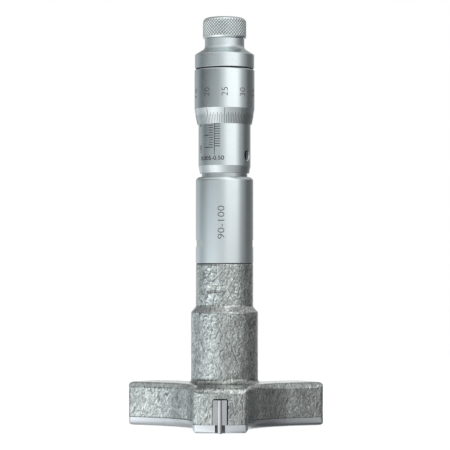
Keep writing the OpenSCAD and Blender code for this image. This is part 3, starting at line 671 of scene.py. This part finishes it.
def knurl(turns, r, z):
    """Diamond knurl: two crossing sets of helical grooves, fading out at the edges."""
    around = KNURLS * turns / (2 * math.pi)
    along = (z - KNOB_BOTTOM) / KNURL_PITCH
    first = np.abs((around + along) % 1 - 0.5) * 2
    second = np.abs((around - along) % 1 - 0.5) * 2
    grooves = rise(np.maximum(first, second), KNURL_FLAT, 1)
    low = rise(z, KNURL_START, KNURL_START + KNURL_IN)
    high = rise(z, KNURL_END, KNURL_END - KNURL_OUT)
    outside = r > KNOB_R - KNOB_EDGE_R
    return -KNURL_DEPTH * grooves * low * high * outside


knob_section = (
    [(KNOB_CAVITY_R, KNOB_BOTTOM), (KNOB_FOOT_R - KNOB_CHAMFER, KNOB_BOTTOM),
     (KNOB_FOOT_R, KNOB_BOTTOM + KNOB_CHAMFER)]
    + [(KNOB_R, z) for z in np.arange(KNURL_START, KNOB_TOP - KNOB_EDGE_R, KNOB_ROW)]
    + quarter_arc((KNOB_R - KNOB_EDGE_R, KNOB_TOP - KNOB_EDGE_R), KNOB_EDGE_R, 14)
    + [(RECESS_R + RECESS_CHAMFER, KNOB_TOP), (RECESS_R, KNOB_TOP - RECESS_CHAMFER),
       (RECESS_R, RECESS_FLOOR), (SCREW_HOLE_R, RECESS_FLOOR), (SCREW_HOLE_R, KNOB_ROOF),
       (KNOB_CAVITY_R, KNOB_ROOF)])
knob_mesh = revolve("knurled_knob", knob_section, KNURLS * KNURL_STEPS, knurl, SOFT_SHARP)
knob_x, knob_y, knob_z = np.array([v.co for v in knob_mesh.vertices]).T / MM
knob_depth = knurl(np.arctan2(knob_x, -knob_y), np.hypot(knob_x, knob_y) + KNURL_DEPTH, knob_z)
# depth of each groove as the weight of its painted shade, strongest at the bottom
add_weight(knob_mesh, "groove_painted_shade", (-knob_depth / KNURL_DEPTH) ** GROOVE_SHADE_POWER)
add_object("knurled_knob", knob_mesh, "knurled_steel", "ratchet_group", ("ratchet_knob",))

# Cap

CAP_NECK_R = 8.15
CAP_SHOULDER = CAP_BOTTOM + 5.7
CAP_SHOULDER_H = 2.6
CAP_BORE_R = 3.0
CROWN_SEAT_R = 5.2
CROWN_SEAT = CAP_TOP - 1.6
SPINDLE_END = THIMBLE_TOP + 8
CAP_FOOT_ROUND = 0.15
CAP_SHOULDER_ROUND = 0.3
CAP_NECK_ROUND = 1.1
CAP_RIM_ROUND = 0.12
FACE_MARGIN = 0.2
SLOPING = 0.3
cap_section = rounded([
    (CAP_BORE_R, CAP_BOTTOM, 0), (CAP_R, CAP_BOTTOM, CAP_FOOT_ROUND),
    (CAP_R, CAP_SHOULDER, CAP_SHOULDER_ROUND),
    (CAP_NECK_R, CAP_SHOULDER + CAP_SHOULDER_H, CAP_NECK_ROUND), (CAP_NECK_R, CAP_TOP, CAP_RIM_ROUND),
    (CROWN_SEAT_R, CAP_TOP, 0), (CROWN_SEAT_R, CROWN_SEAT, 0), (SCREW_HOLE_R, CROWN_SEAT, 0),
    (SCREW_HOLE_R, SPINDLE_END, 0), (CAP_BORE_R, SPINDLE_END, 0)])
cap = even_normals(add_object("cap", revolve("cap", cap_section), "cap_steel", "thimble_group",
                              ("thimble_cap",)))
add_finishes(cap, "turned_steel", "shaded_cone_steel")
# the cap's neck takes a rougher steel; its upward sloping cone takes a darker steel as painted shade
for face in cap.data.polygons:
    height = face.center.z / MM - CAP_SHOULDER
    if height > CAP_SHOULDER_H - FACE_MARGIN:
        face.material_index = 1
    elif height > FACE_MARGIN and face.normal.z > SLOPING:
        face.material_index = 2

# Thimble

THIMBLE_BORE_R = 10.9
BEVEL_R = 11.2
BEVEL_H = 6.4
WEB_BOTTOM = THIMBLE_TOP - 4.4
SEAT_FOOT_R = 5.0
SEAT_TOP_R = 4.5
THIMBLE_EDGE_ROUND = 0.06
BEVEL_ROUND = 0.12
THIMBLE_TOP_ROUND = 0.6
thimble_section = rounded([
    (THIMBLE_BORE_R, THIMBLE_EDGE, 0), (BEVEL_R, THIMBLE_EDGE, THIMBLE_EDGE_ROUND),
    (THIMBLE_R, THIMBLE_EDGE + BEVEL_H, BEVEL_ROUND), (THIMBLE_R, THIMBLE_TOP, THIMBLE_TOP_ROUND),
    (SEAT_TOP_R, THIMBLE_TOP, 0), (SEAT_FOOT_R, WEB_BOTTOM, 0), (THIMBLE_BORE_R, WEB_BOTTOM, 0)])
even_normals(add_object("thimble_shell", revolve("thimble_shell", thimble_section), "satin_chrome",
                        "thimble_group", ("thimble",)))


def thimble_radius(z):
    slope = (THIMBLE_R - BEVEL_R) / BEVEL_H
    return min(THIMBLE_R, BEVEL_R + (z - THIMBLE_EDGE) * slope)


DIVISIONS = 100
ZERO_ANGLE = 2.7 - 180
NUMBERED = 10
NUMBERED_W = 0.20
DIVISION_W = 0.17
NUMBERED_H = 6.6
EVEN_H = 4.4
ODD_H = 3.6
DIVISION_START = THIMBLE_EDGE + 0.12
NUMBER_Z = THIMBLE_EDGE + 12.8
NUMBER_H = 2.5
DIGIT_W = 1.75
THIN_INK = -0.014
ticks = bmesh.new()
numbers = bmesh.new()
for i in range(DIVISIONS):
    theta = ZERO_ANGLE + i * 360 / DIVISIONS
    numbered = i % NUMBERED == 0
    width = NUMBERED_W if numbered else DIVISION_W
    reach = NUMBERED_H if numbered else (ODD_H if i % 2 else EVEN_H)
    half = math.degrees(width / 2 / BEVEL_R)
    ink_patch(ticks, (theta - half, theta + half), (DIVISION_START, THIMBLE_EDGE + reach),
              thimble_radius, (1, 8 if numbered else 4))
    if numbered:
        label = str(i // 2)
        add_text(numbers, label, NUMBER_H, DIGIT_W * len(label), theta, NUMBER_Z,
                 thimble_radius, False, THIN_INK)
add_object("thimble_graduations", mesh_from("thimble_graduations", ticks), "black_paint", "thimble_group")
add_object("thimble_numbers", mesh_from("thimble_numbers", numbers), "black_paint", "thimble_group")

# Sleeve with its set screw's hole

SLEEVE_BORE_R = 9.0
SLEEVE_FOOT_R = 10.15
SLEEVE_TAPER_H = 3.0
SLEEVE_FOOT_ROUND = 0.3
SLEEVE_TAPER_ROUND = 0.12
SLEEVE_TOP_ROUND = 0.15
SCREW_THETA = 62
SCREW_Z = SLEEVE_FOOT + 7.35
SCREW_R = 1.9
SCREW_RIM = 0.42
CUT_REACH = 2
RIM_REACH = 1
RIM_INSET = 0.02
sleeve_section = rounded([
    (SLEEVE_BORE_R, SLEEVE_FOOT, 0), (SLEEVE_FOOT_R, SLEEVE_FOOT, SLEEVE_FOOT_ROUND),
    (SLEEVE_R, SLEEVE_FOOT + SLEEVE_TAPER_H, SLEEVE_TAPER_ROUND), (SLEEVE_R, SLEEVE_TOP, SLEEVE_TOP_ROUND),
    (SLEEVE_BORE_R, SLEEVE_TOP, 0)])


def on_screw_axis(r):
    return on_surface(SCREW_THETA, SCREW_Z, r)


hole = cone_mesh(on_screw_axis(SLEEVE_BORE_R - CUT_REACH), on_screw_axis(SLEEVE_R + CUT_REACH),
                 SCREW_R * MM, SCREW_R * MM)
rim = cone_mesh(on_screw_axis(SLEEVE_R - SCREW_RIM), on_screw_axis(SLEEVE_R + RIM_REACH),
                (SCREW_R - RIM_INSET) * MM, (SCREW_R + SCREW_RIM + RIM_REACH) * MM)
sleeve_mesh = carve(revolve("graduated_sleeve", sleeve_section), [hole, rim])
even_normals(add_object("graduated_sleeve", sleeve_mesh, "satin_chrome", "gauge_frame", ("sleeve",)))

# Scale of the sleeve, with angles in degrees right of the front

SCALE_ZERO = SLEEVE_TOP - 2.1
SCALE_L = 10
SCALE_START = 90
DATUM = -20.4
DATUM_FOOT = SLEEVE_FOOT + 7.55
DATUM_TOP = SLEEVE_TOP - 0.2
DATUM_W = 0.26
TICK_W = 0.30
TICK_GAP = 2.4
MAJOR = 5
MAJOR_END = -47.9
MINOR_END = -34.1
HALF_END = -7.4
SCALE_LABEL_THETA = -61.4
SCALE_LABEL_DROP = 0.4
SCALE_LABEL_H = 1.7
SCALE_DIGIT_W = 0.95
PRINT_Z = SLEEVE_FOOT + 6.05
PRINT_H = 1.75

# Text, length, angle and weight of the small print's two halves
PRINT = (("0.005", 5.9, -44.3, 0.022), ("-0.50", 5.4, -12.9, 0.012))


def sleeve_radius(z):
    return SLEEVE_R


def scale_tick(bm, thetas, z, steps):
    ink_patch(bm, thetas, (z - TICK_W / 2, z + TICK_W / 2), sleeve_radius, (steps, 1))


scale = bmesh.new()
half = math.degrees(DATUM_W / 2 / SLEEVE_R)
ink_patch(scale, (DATUM - half, DATUM + half), (DATUM_FOOT, DATUM_TOP), sleeve_radius, (1, 1))
for v in range(SCALE_L + 1):
    end = MINOR_END if v % MAJOR else MAJOR_END
    scale_tick(scale, (end, DATUM - half - TICK_GAP), SCALE_ZERO - v, 12)
    if v < SCALE_L:
        scale_tick(scale, (DATUM + half, HALF_END), SCALE_ZERO - v - 0.5, 8)
for v in (0, SCALE_L):
    label = str(SCALE_START + v)
    add_text(scale, label, SCALE_LABEL_H, SCALE_DIGIT_W * len(label), SCALE_LABEL_THETA,
             SCALE_ZERO - v - SCALE_LABEL_DROP, sleeve_radius, False)
for text, length, theta, weight in PRINT:
    add_text(scale, text, PRINT_H, length, theta, PRINT_Z, sleeve_radius, True, weight)
add_object("sleeve_scale", mesh_from("sleeve_scale", scale), "black_paint", "gauge_frame")

# Grip with its spanner flats and range mark

GRIP_BORE_R = 9.4
GRIP_EDGE_R = 1.6
GRIP_FOOT = GRIP_BOTTOM - 0.15
GRIP_FOOT_BAND = 2
GRIP_FOOT_ROUND = 0.08
FLAT_R = 10.6
FLAT_Z = GRIP_BOTTOM + 8
FLAT_H = 2.9
FLAT_ANGLES = (16, 196)
FLAT_FACES_R = (GRIP_BORE_R + 0.3, GRIP_R - 0.05)
MARK_Z = GRIP_BOTTOM + 16.45
MARK_THETA = -4.6
MARK_H = 2.7
MARK_L = 13.4
grip_section = (
    rounded([(GRIP_BORE_R, GRIP_FOOT, 0), (GRIP_R, GRIP_FOOT, GRIP_FOOT_ROUND),
             (GRIP_R, GRIP_FOOT + GRIP_FOOT_BAND, 0)])
    + quarter_arc((GRIP_R - GRIP_EDGE_R, GRIP_TOP - GRIP_EDGE_R), GRIP_EDGE_R, 12)
    + [(GRIP_BORE_R, GRIP_TOP)])
flat_size = (GRIP_R * MM, 2 * GRIP_R * MM, FLAT_H * MM)
flat_cuts = [box_mesh(on_surface(polar + 90, FLAT_Z, FLAT_R + GRIP_R / 2), flat_size, math.radians(polar))
             for polar in FLAT_ANGLES]
grip_mesh = carve(revolve("grip_body", grip_section), flat_cuts)
grip = even_normals(add_object("grip_body", grip_mesh, "satin_chrome", "gauge_frame", ("grip",)))
add_finishes(grip, "flat_steel_and_shade")
# the spanner flats take their own milled steel, drawn darker and greener as painted shade
for face in grip.data.polygons:
    r = face.center.xy.length / MM
    if abs(face.center.z / MM - FLAT_Z) < FLAT_H and FLAT_FACES_R[0] < r < FLAT_FACES_R[1]:
        face.material_index = 1


def grip_radius(z):
    return GRIP_R


marks = bmesh.new()
add_text(marks, "90-100", MARK_H, MARK_L, MARK_THETA, MARK_Z, grip_radius, False, THIN_INK)
add_object("grip_range", mesh_from("grip_range", marks), "black_paint", "gauge_frame")

# Head: size of its mesh, hammer marks, then the places that stay bare, drawn near black as painted shade,
# and those with painted shade or highlight

VOXEL = 0.26
FOOT_SNAP = 0.4 * VOXEL
HAMMER_SEED = 7
HAMMER_CELL = 1.1
HAMMER_DEPTH = 0.03
HAMMER_LEVEL = 0.6
HAMMER_RIM = 1.6
HAMMER_DRAWN = 0.45
WARP_SHARE = 0.6
WARP_SCALE = 0.6
DENT = 4.5
DENT_DEPTH = 0.045
NECK_BORE_R = 10.7
NECK_BORE_FOOT = ARM_TOP + 1
HEAD_BORE_R = 9.4
SLOT_W = 6.0
SLOT_ROOF = 13.2
SLOT_ROOF_END = 13.9
SLOT_MARGIN = 0.3
SLOT_START = 9
SLOT_CLOSE = 0.14
WALL_IN = (-SLOT_W / 2 - 0.6, -SLOT_W / 2 - 0.2)
WALL_END = -2
ROOF_OUT = (14.3, 13.8)
POCKET_HALF = 7.8
POCKET_TOP = 8.6
POCKET_END = 35
FACING_OUT = 0.5
FACING_DOWN = -0.75
FOOT_BAND = 0.5
FOOT_FADE = 0.6
NECK_FADE = 0.5
EDGE_IN = (-2.2, -1.8)
EDGE_OUT = (-0.1, -0.4)
EDGE_FRONT = (-11, -9)
FILLET_SHADE_IN = (0.1, 0.5)
FILLET_SHADE_OUT = (3.2, 2.0)
NECK_FLAT_TURN = 256
NECK_FLAT_R = 11.0
NECK_FLAT_FOOT = NECK_TOP - 11.5
NECK_FLAT_SHADE = 0.5
LEDGE_MARGIN = 0.1
LEDGE_HALF = 0.2


def painted(co, normal):
    """How far a point belongs to the hammered outside: 0 on machined faces and inside the head."""
    x, y, z = co
    weight = np.ones_like(x)
    weight[np.hypot(x, y) < np.where(z > NECK_BORE_FOOT, NECK_BORE_R, HEAD_BORE_R)] = 0
    for angle in ARM_ANGLES:
        along, across = arm_coords(x, y, angle)
        outward, _ = arm_coords(normal[0], normal[1], angle)
        in_slot = (np.abs(across) < SLOT_W / 2 + SLOT_MARGIN) & (z < SLOT_ROOF_END)
        slot = in_slot & (along > 0) & (outward < FACING_OUT)
        in_pocket = (np.abs(across) < POCKET_HALF) & (z < POCKET_TOP)
        pocket = in_pocket & (along > SLOT_START) & (along < POCKET_END)
        weight[slot | pocket] = 0
    weight[(z < PLATE_T + FOOT_BAND) & (normal[2] < FACING_DOWN)] = 0
    weight *= rise(z, PLATE_T, PLATE_T + FOOT_FADE)
    weight *= rise(z, NECK_TOP, NECK_TOP - NECK_FADE)
    return weight


def head_shades(co, weight):
    """Weights of where paint is, with painted shade on bare faces and at the neck flat's ledge; of painted
    shade in the fillet at the hub's foot; of rough arm edges; and of a painted highlight on the left arm
    edges.
    """
    x, y, z = co
    over_arm = z - ARM_TOP
    edge = rise(over_arm, *EDGE_IN) * rise(over_arm, *EDGE_OUT) * rise(y, *EDGE_FRONT)
    # painted shade just above the arms' tops, in the hub's foot fillet
    fillet_shade = rise(over_arm, *FILLET_SHADE_IN) * rise(over_arm, *FILLET_SHADE_OUT)
    facing, _ = arm_coords(x, y, NECK_FLAT_TURN)
    # painted shade: a dark line along the lower ledge of the neck flat
    ledge = (facing > NECK_FLAT_R - LEDGE_MARGIN) & (np.abs(z - NECK_FLAT_FOOT) < LEDGE_HALF)
    paint_and_shade = (weight > 0) * (1 - NECK_FLAT_SHADE * ledge)
    # the painted highlight covers the edges left of the axis only
    return {"paint_and_shade": paint_and_shade, "fillet_shade": fillet_shade, "edge": edge, "left_edge_highlight": edge * (x < 0)}


def close_slots(co):
    """Brings the left wall and the roof of each slot nearer to its jaw, as the paint does."""
    x, y, z = co.T.copy()
    for angle in ARM_ANGLES:
        along, across = arm_coords(x, y, angle)
        c, s = arm_direction(angle)
        side = rise(across, *WALL_IN) * (across < WALL_END)
        wall = side * (along > SLOT_START) * (z < SLOT_ROOF_END)
        co[:, 0] -= SLOT_CLOSE * wall * s
        co[:, 1] += SLOT_CLOSE * wall * c
        roof = (np.abs(across) < SLOT_W / 2 + SLOT_MARGIN) * (along > SLOT_START) * (z > SLOT_ROOF)
        co[:, 2] -= SLOT_CLOSE * roof * rise(z, *ROOF_OUT)


def hammer_mark(point):
    """Height of the hammered surface at a point in mm: drawn cells with rims, over wide dents."""
    drawn = Vector((point.x, point.y, HAMMER_DRAWN * point.z))
    warp = WARP_SHARE * noise.noise_vector(point * WARP_SCALE)
    near = noise.voronoi(drawn / HAMMER_CELL + warp)[0]
    cell = min(1.0, (near[1] - near[0]) * HAMMER_RIM)
    return HAMMER_DEPTH * (cell * (2 - cell) - HAMMER_LEVEL) + DENT_DEPTH * noise.noise(drawn / DENT)


def fine_head():
    """The CAD head as one even mesh, fine enough for the hammer marks."""
    bm = welded("head_body")
    blank_mesh = bpy.data.meshes.new("head_blank")
    bm.to_mesh(blank_mesh)
    bm.free()
    blank = linked("head_blank", blank_mesh)
    remesh = blank.modifiers.new("remesh", "REMESH")
    remesh.mode = "VOXEL"
    remesh.voxel_size = VOXEL * MM
    smooth = blank.modifiers.new("smooth", "SMOOTH")
    smooth.factor = 0.5
    smooth.iterations = 2
    fine = final_mesh(blank)
    bpy.data.objects.remove(blank)
    bpy.data.meshes.remove(blank_mesh)
    return fine


def hammered_head():
    mesh = fine_head()
    count = len(mesh.vertices)
    co = np.empty(count * 3, np.float32)
    mesh.vertices.foreach_get("co", co)
    co = co.reshape(-1, 3) / MM
    normals = np.empty(count * 3, np.float32)
    mesh.vertex_normals.foreach_get("vector", normals)
    normals = normals.reshape(-1, 3)
    weight = painted(co.T, normals.T)
    for name, values in head_shades(co.T, weight).items():
        add_weight(mesh, name, values)
    close_slots(co)
    # Blender seeds its vector noise by the clock unless a seed is set
    noise.seed_set(HAMMER_SEED)
    lift = np.zeros(count)
    for i in np.nonzero(weight > 0)[0]:
        lift[i] = hammer_mark(Vector(co[i]))
    co = co + normals * (weight * lift)[:, None]
    co[co[:, 2] < PLATE_T + FOOT_SNAP, 2] = PLATE_T
    mesh.vertices.foreach_set("co", (co * MM).astype(np.float32).ravel())
    mesh.update()
    mesh.name = "hammered_head"
    smooth_faces(mesh, SOFT_SHARP)
    add_object("hammered_head", mesh, "hammered_paint", "gauge_frame", ("head_body",))


hammered_head()

# Cover plate, with painted shade on its sides between the arms and on its slot walls, and jaws

PLATE_EASE = 0.10
PLATE_SLOT_W = 4.0
PLATE_SLOT_START = 20
PLATE_SLOT_MARGIN = 0.02
SIDE_SHADE_IN = (23, 27)
SIDE_SHADE_OUT = (38, 30)
UPRIGHT = 0.5
JAW_EASE = 0.12
STRIP_EASE = 0.06
plate = eased("cover_plate", "bottom_plate", PLATE_EASE, "ground_steel", "gauge_frame")
add_finishes(plate, "slot_shade_and_screw_steel", "shaded_side_steel")
plate_r = np.array([v.co.xy.length for v in plate.data.vertices]) / MM
# weight of the painted shade on the plate's sides, between the arms
add_weight(plate.data, "inner", rise(plate_r, *SIDE_SHADE_IN) * rise(plate_r, *SIDE_SHADE_OUT))


def in_plate_slot(point):
    for angle in ARM_ANGLES:
        along, across = arm_coords(point.x / MM, point.y / MM, angle)
        if along > PLATE_SLOT_START and abs(across) < PLATE_SLOT_W / 2 + PLATE_SLOT_MARGIN:
            return True
    return False


# painted shade: upright faces inside the plate's slots take the dark steel
for face in plate.data.polygons:
    if abs(face.normal.z) < UPRIGHT:
        face.material_index = 1 if in_plate_slot(face.center) else 2
for n in JAWS:
    body = "jaw_unit_%d" % n
    eased("jaw_block_%d" % n, "jaw_%d" % n, JAW_EASE, "jaw_steel", body)
    eased("hard_strip_%d" % n, "contact_strip_%d" % n, STRIP_EASE, "carbide", body)

# Return springs, each with a mesh of its own

for n, angle in zip(JAWS, ARM_ANGLES):
    node = "jaw_springs_%d" % n
    springs = add_object("return_springs_%d" % n, mesh_from("return_springs_%d" % n, welded(node)),
                         "spring_steel", "gauge_frame", (node,))
    outward = Vector((*arm_direction(angle), 0.0))
    reach = [v.co.dot(outward) for v in springs.data.vertices]
    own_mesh(springs)

# Finishes of the CAD nodes that show as they are

PLAIN = {
    "blackened_steel": ["cover_screws", "adjusting_nut", "ratchet_crown", "click_disc", "ratchet_screw"]
    + ["jaw_pin_%d" % n for n in JAWS],
    "ground_steel": ["cone", "push_rod", "thrust_ball", "spindle"],
    "bronze": ["guide_bush"],
    "black_rubber": ["seal_ring"],
    "barrel_steel_and_collar_shade": ["inner_barrel"],
    "slot_shade_and_screw_steel": ["sleeve_screw"],
    "ring_black": ["thimble_ring"],
    "spring_steel": ["ratchet_spring"],
}
for finish, plain_nodes in PLAIN.items():
    for node in plain_nodes:
        nodes[node].data.materials.clear()
        nodes[node].data.materials.append(FINISH[finish])

# Studio: soft walls by direction, as (degrees right of the camera, brightness, share of blue)

ROOF = [(-180, 0.38), (-150, 0.20), (-107, 0.41), (-65, 0.66), (-30, 0.76), (0, 1.06), (25, 1.34),
        (45, 0.96), (65, 0.54), (115, 0.50), (147, 0.46), (180, 0.38)]
UPPER = [(-180, 1.00), (-155, 0.46, 0.05), (-128, 0.42, 0.06), (-92, 0.06, 0.08), (-70, 0.08, 0.08),
         (-45, 0.17, 0.08), (-21, 0.32, 0.06), (-4, 0.70, 0.03), (16, 1.30), (52, 1.44), (74, 0.52, 0.02),
         (104, 0.10), (132, 0.14), (155, 0.32), (180, 1.00)]
MIDDLE = [(-180, 1.00), (-155, 0.66, 0.04), (-128, 0.80, 0.06), (-104, 0.66, 0.06), (-64, 1.34, 0.05),
          (-40, 1.32, 0.04), (-22, 1.08, 0.03), (-2, 0.66, 0.02), (16, 0.49, 0.02), (36, 0.40, 0.02),
          (66, 0.23), (100, 0.14), (122, 0.16), (150, 0.24), (180, 1.00)]
LOWER = [(-180, 1.00), (-155, 0.36), (-115, 0.44), (-86, 0.62, 0.02), (-64, 1.00), (-40, 1.20), (-20, 1.00),
         (-4, 0.76, 0.02), (20, 0.56, 0.02), (50, 0.45), (66, 0.32), (90, 0.10), (130, 0.06), (158, 0.20),
         (180, 1.00)]

# Heights of the viewing direction over which one wall gives way to the next
TO_MIDDLE = (-0.15, -0.07)
TO_UPPER = (-0.015, 0.07)
TO_ROOF = (0.20, 0.40)
FLOOR_R = 0.9
FLOOR_CLOUD = 60.0
FLOOR_TONES = [(NOISE_LOW, grey(0.29)), (NOISE_HIGH, grey(0.31))]
FLOOR_GLOW = grey(0.86)
FLOOR_ROUGH = 0.9


def studio_world():
    """White to the camera, and soft grey walls to everything that they light and that mirrors them."""
    world = bpy.data.worlds.new("studio")
    world.use_nodes = True
    tree = world.node_tree
    direction = separate(tree, tree.nodes.new("ShaderNodeTexCoord").outputs["Generated"])
    front = math_node(tree, "MULTIPLY", direction["Y"], -1.0)
    bearing = math_node(tree, "ARCTAN2", direction["X"], front)
    turn = math_node(tree, "ADD", math_node(tree, "DIVIDE", bearing, 2 * math.pi), 0.5)

    def wall(stops):
        return ramp_node(tree, turn, [((degrees + 180) / 360, grey(*tone)) for degrees, *tone in stops])

    def above(heights, below, stops):
        share = range_node(tree, direction["Z"], 0.0, 1.0, *heights)
        return mix_node(tree, "MIX", share, below, wall(stops))

    walls = above(TO_ROOF, above(TO_UPPER, above(TO_MIDDLE, wall(LOWER), MIDDLE), UPPER), ROOF)
    light = tree.nodes["Background"]
    light.inputs["Strength"].default_value = 1
    tree.links.new(walls, light.inputs["Color"])
    white = tree.nodes.new("ShaderNodeBackground")
    white.inputs["Color"].default_value = (*WHITE, 1)
    white.inputs["Strength"].default_value = 1
    choose = tree.nodes.new("ShaderNodeMixShader")
    tree.links.new(tree.nodes.new("ShaderNodeLightPath").outputs["Is Camera Ray"], choose.inputs["Fac"])
    tree.links.new(light.outputs["Background"], choose.inputs[1])
    tree.links.new(white.outputs["Background"], choose.inputs[2])
    tree.links.new(choose.outputs["Shader"], tree.nodes["World Output"].inputs["Surface"])
    scene.world = world


def floor_material():
    """Pale paper that keeps the shadow; mirrors and views from below look through it."""
    mat, tree, paper = node_material("floor")
    cloud = noise_node(tree, object_coords(tree), scale=FLOOR_CLOUD, detail=4)
    tree.links.new(ramp_node(tree, cloud, FLOOR_TONES), paper.inputs["Base Color"])
    paper.inputs["Roughness"].default_value = FLOOR_ROUGH
    glow = tree.nodes.new("ShaderNodeEmission")
    glow.inputs["Color"].default_value = (*FLOOR_GLOW, 1)
    soft = tree.nodes.new("ShaderNodeAddShader")
    tree.links.new(paper.outputs["BSDF"], soft.inputs[0])
    tree.links.new(glow.outputs["Emission"], soft.inputs[1])
    clear = tree.nodes.new("ShaderNodeBsdfTransparent")
    mirrored = tree.nodes.new("ShaderNodeLightPath").outputs["Is Glossy Ray"]
    from_below = tree.nodes.new("ShaderNodeNewGeometry").outputs["Backfacing"]
    choose = tree.nodes.new("ShaderNodeMixShader")
    tree.links.new(math_node(tree, "MAXIMUM", mirrored, from_below), choose.inputs["Fac"])
    tree.links.new(soft.outputs["Shader"], choose.inputs[1])
    tree.links.new(clear.outputs["BSDF"], choose.inputs[2])
    tree.links.new(choose.outputs["Shader"], tree.nodes["Material Output"].inputs["Surface"])
    return mat


def studio_floor():
    bm = bmesh.new()
    bmesh.ops.create_circle(bm, cap_ends=True, radius=FLOOR_R, segments=96)
    mesh = bpy.data.meshes.new("floor")
    bm.to_mesh(mesh)
    bm.free()
    mesh.materials.append(floor_material())
    linked("floor", mesh)


studio_world()
studio_floor()

# Camera, in metres

DISTANCE = 0.856
SIDE = math.radians(2.4)
EYE = 0.0569
AIM = 0.0829
AIM_RIGHT = 0.000185
SENSOR = 36
LENS = 166.4
camera_data = bpy.data.cameras.new("camera")
camera_data.sensor_width = SENSOR
camera_data.lens = LENS
camera = linked("camera", camera_data)
camera.location = (DISTANCE * math.sin(SIDE), -DISTANCE * math.cos(SIDE), EYE)
aim = Vector((AIM_RIGHT * math.cos(SIDE), AIM_RIGHT * math.sin(SIDE), AIM))
camera.rotation_euler = (aim - camera.location).to_track_quat("-Z", "Y").to_euler()
scene.camera = camera

scene.view_settings.view_transform = "Standard"
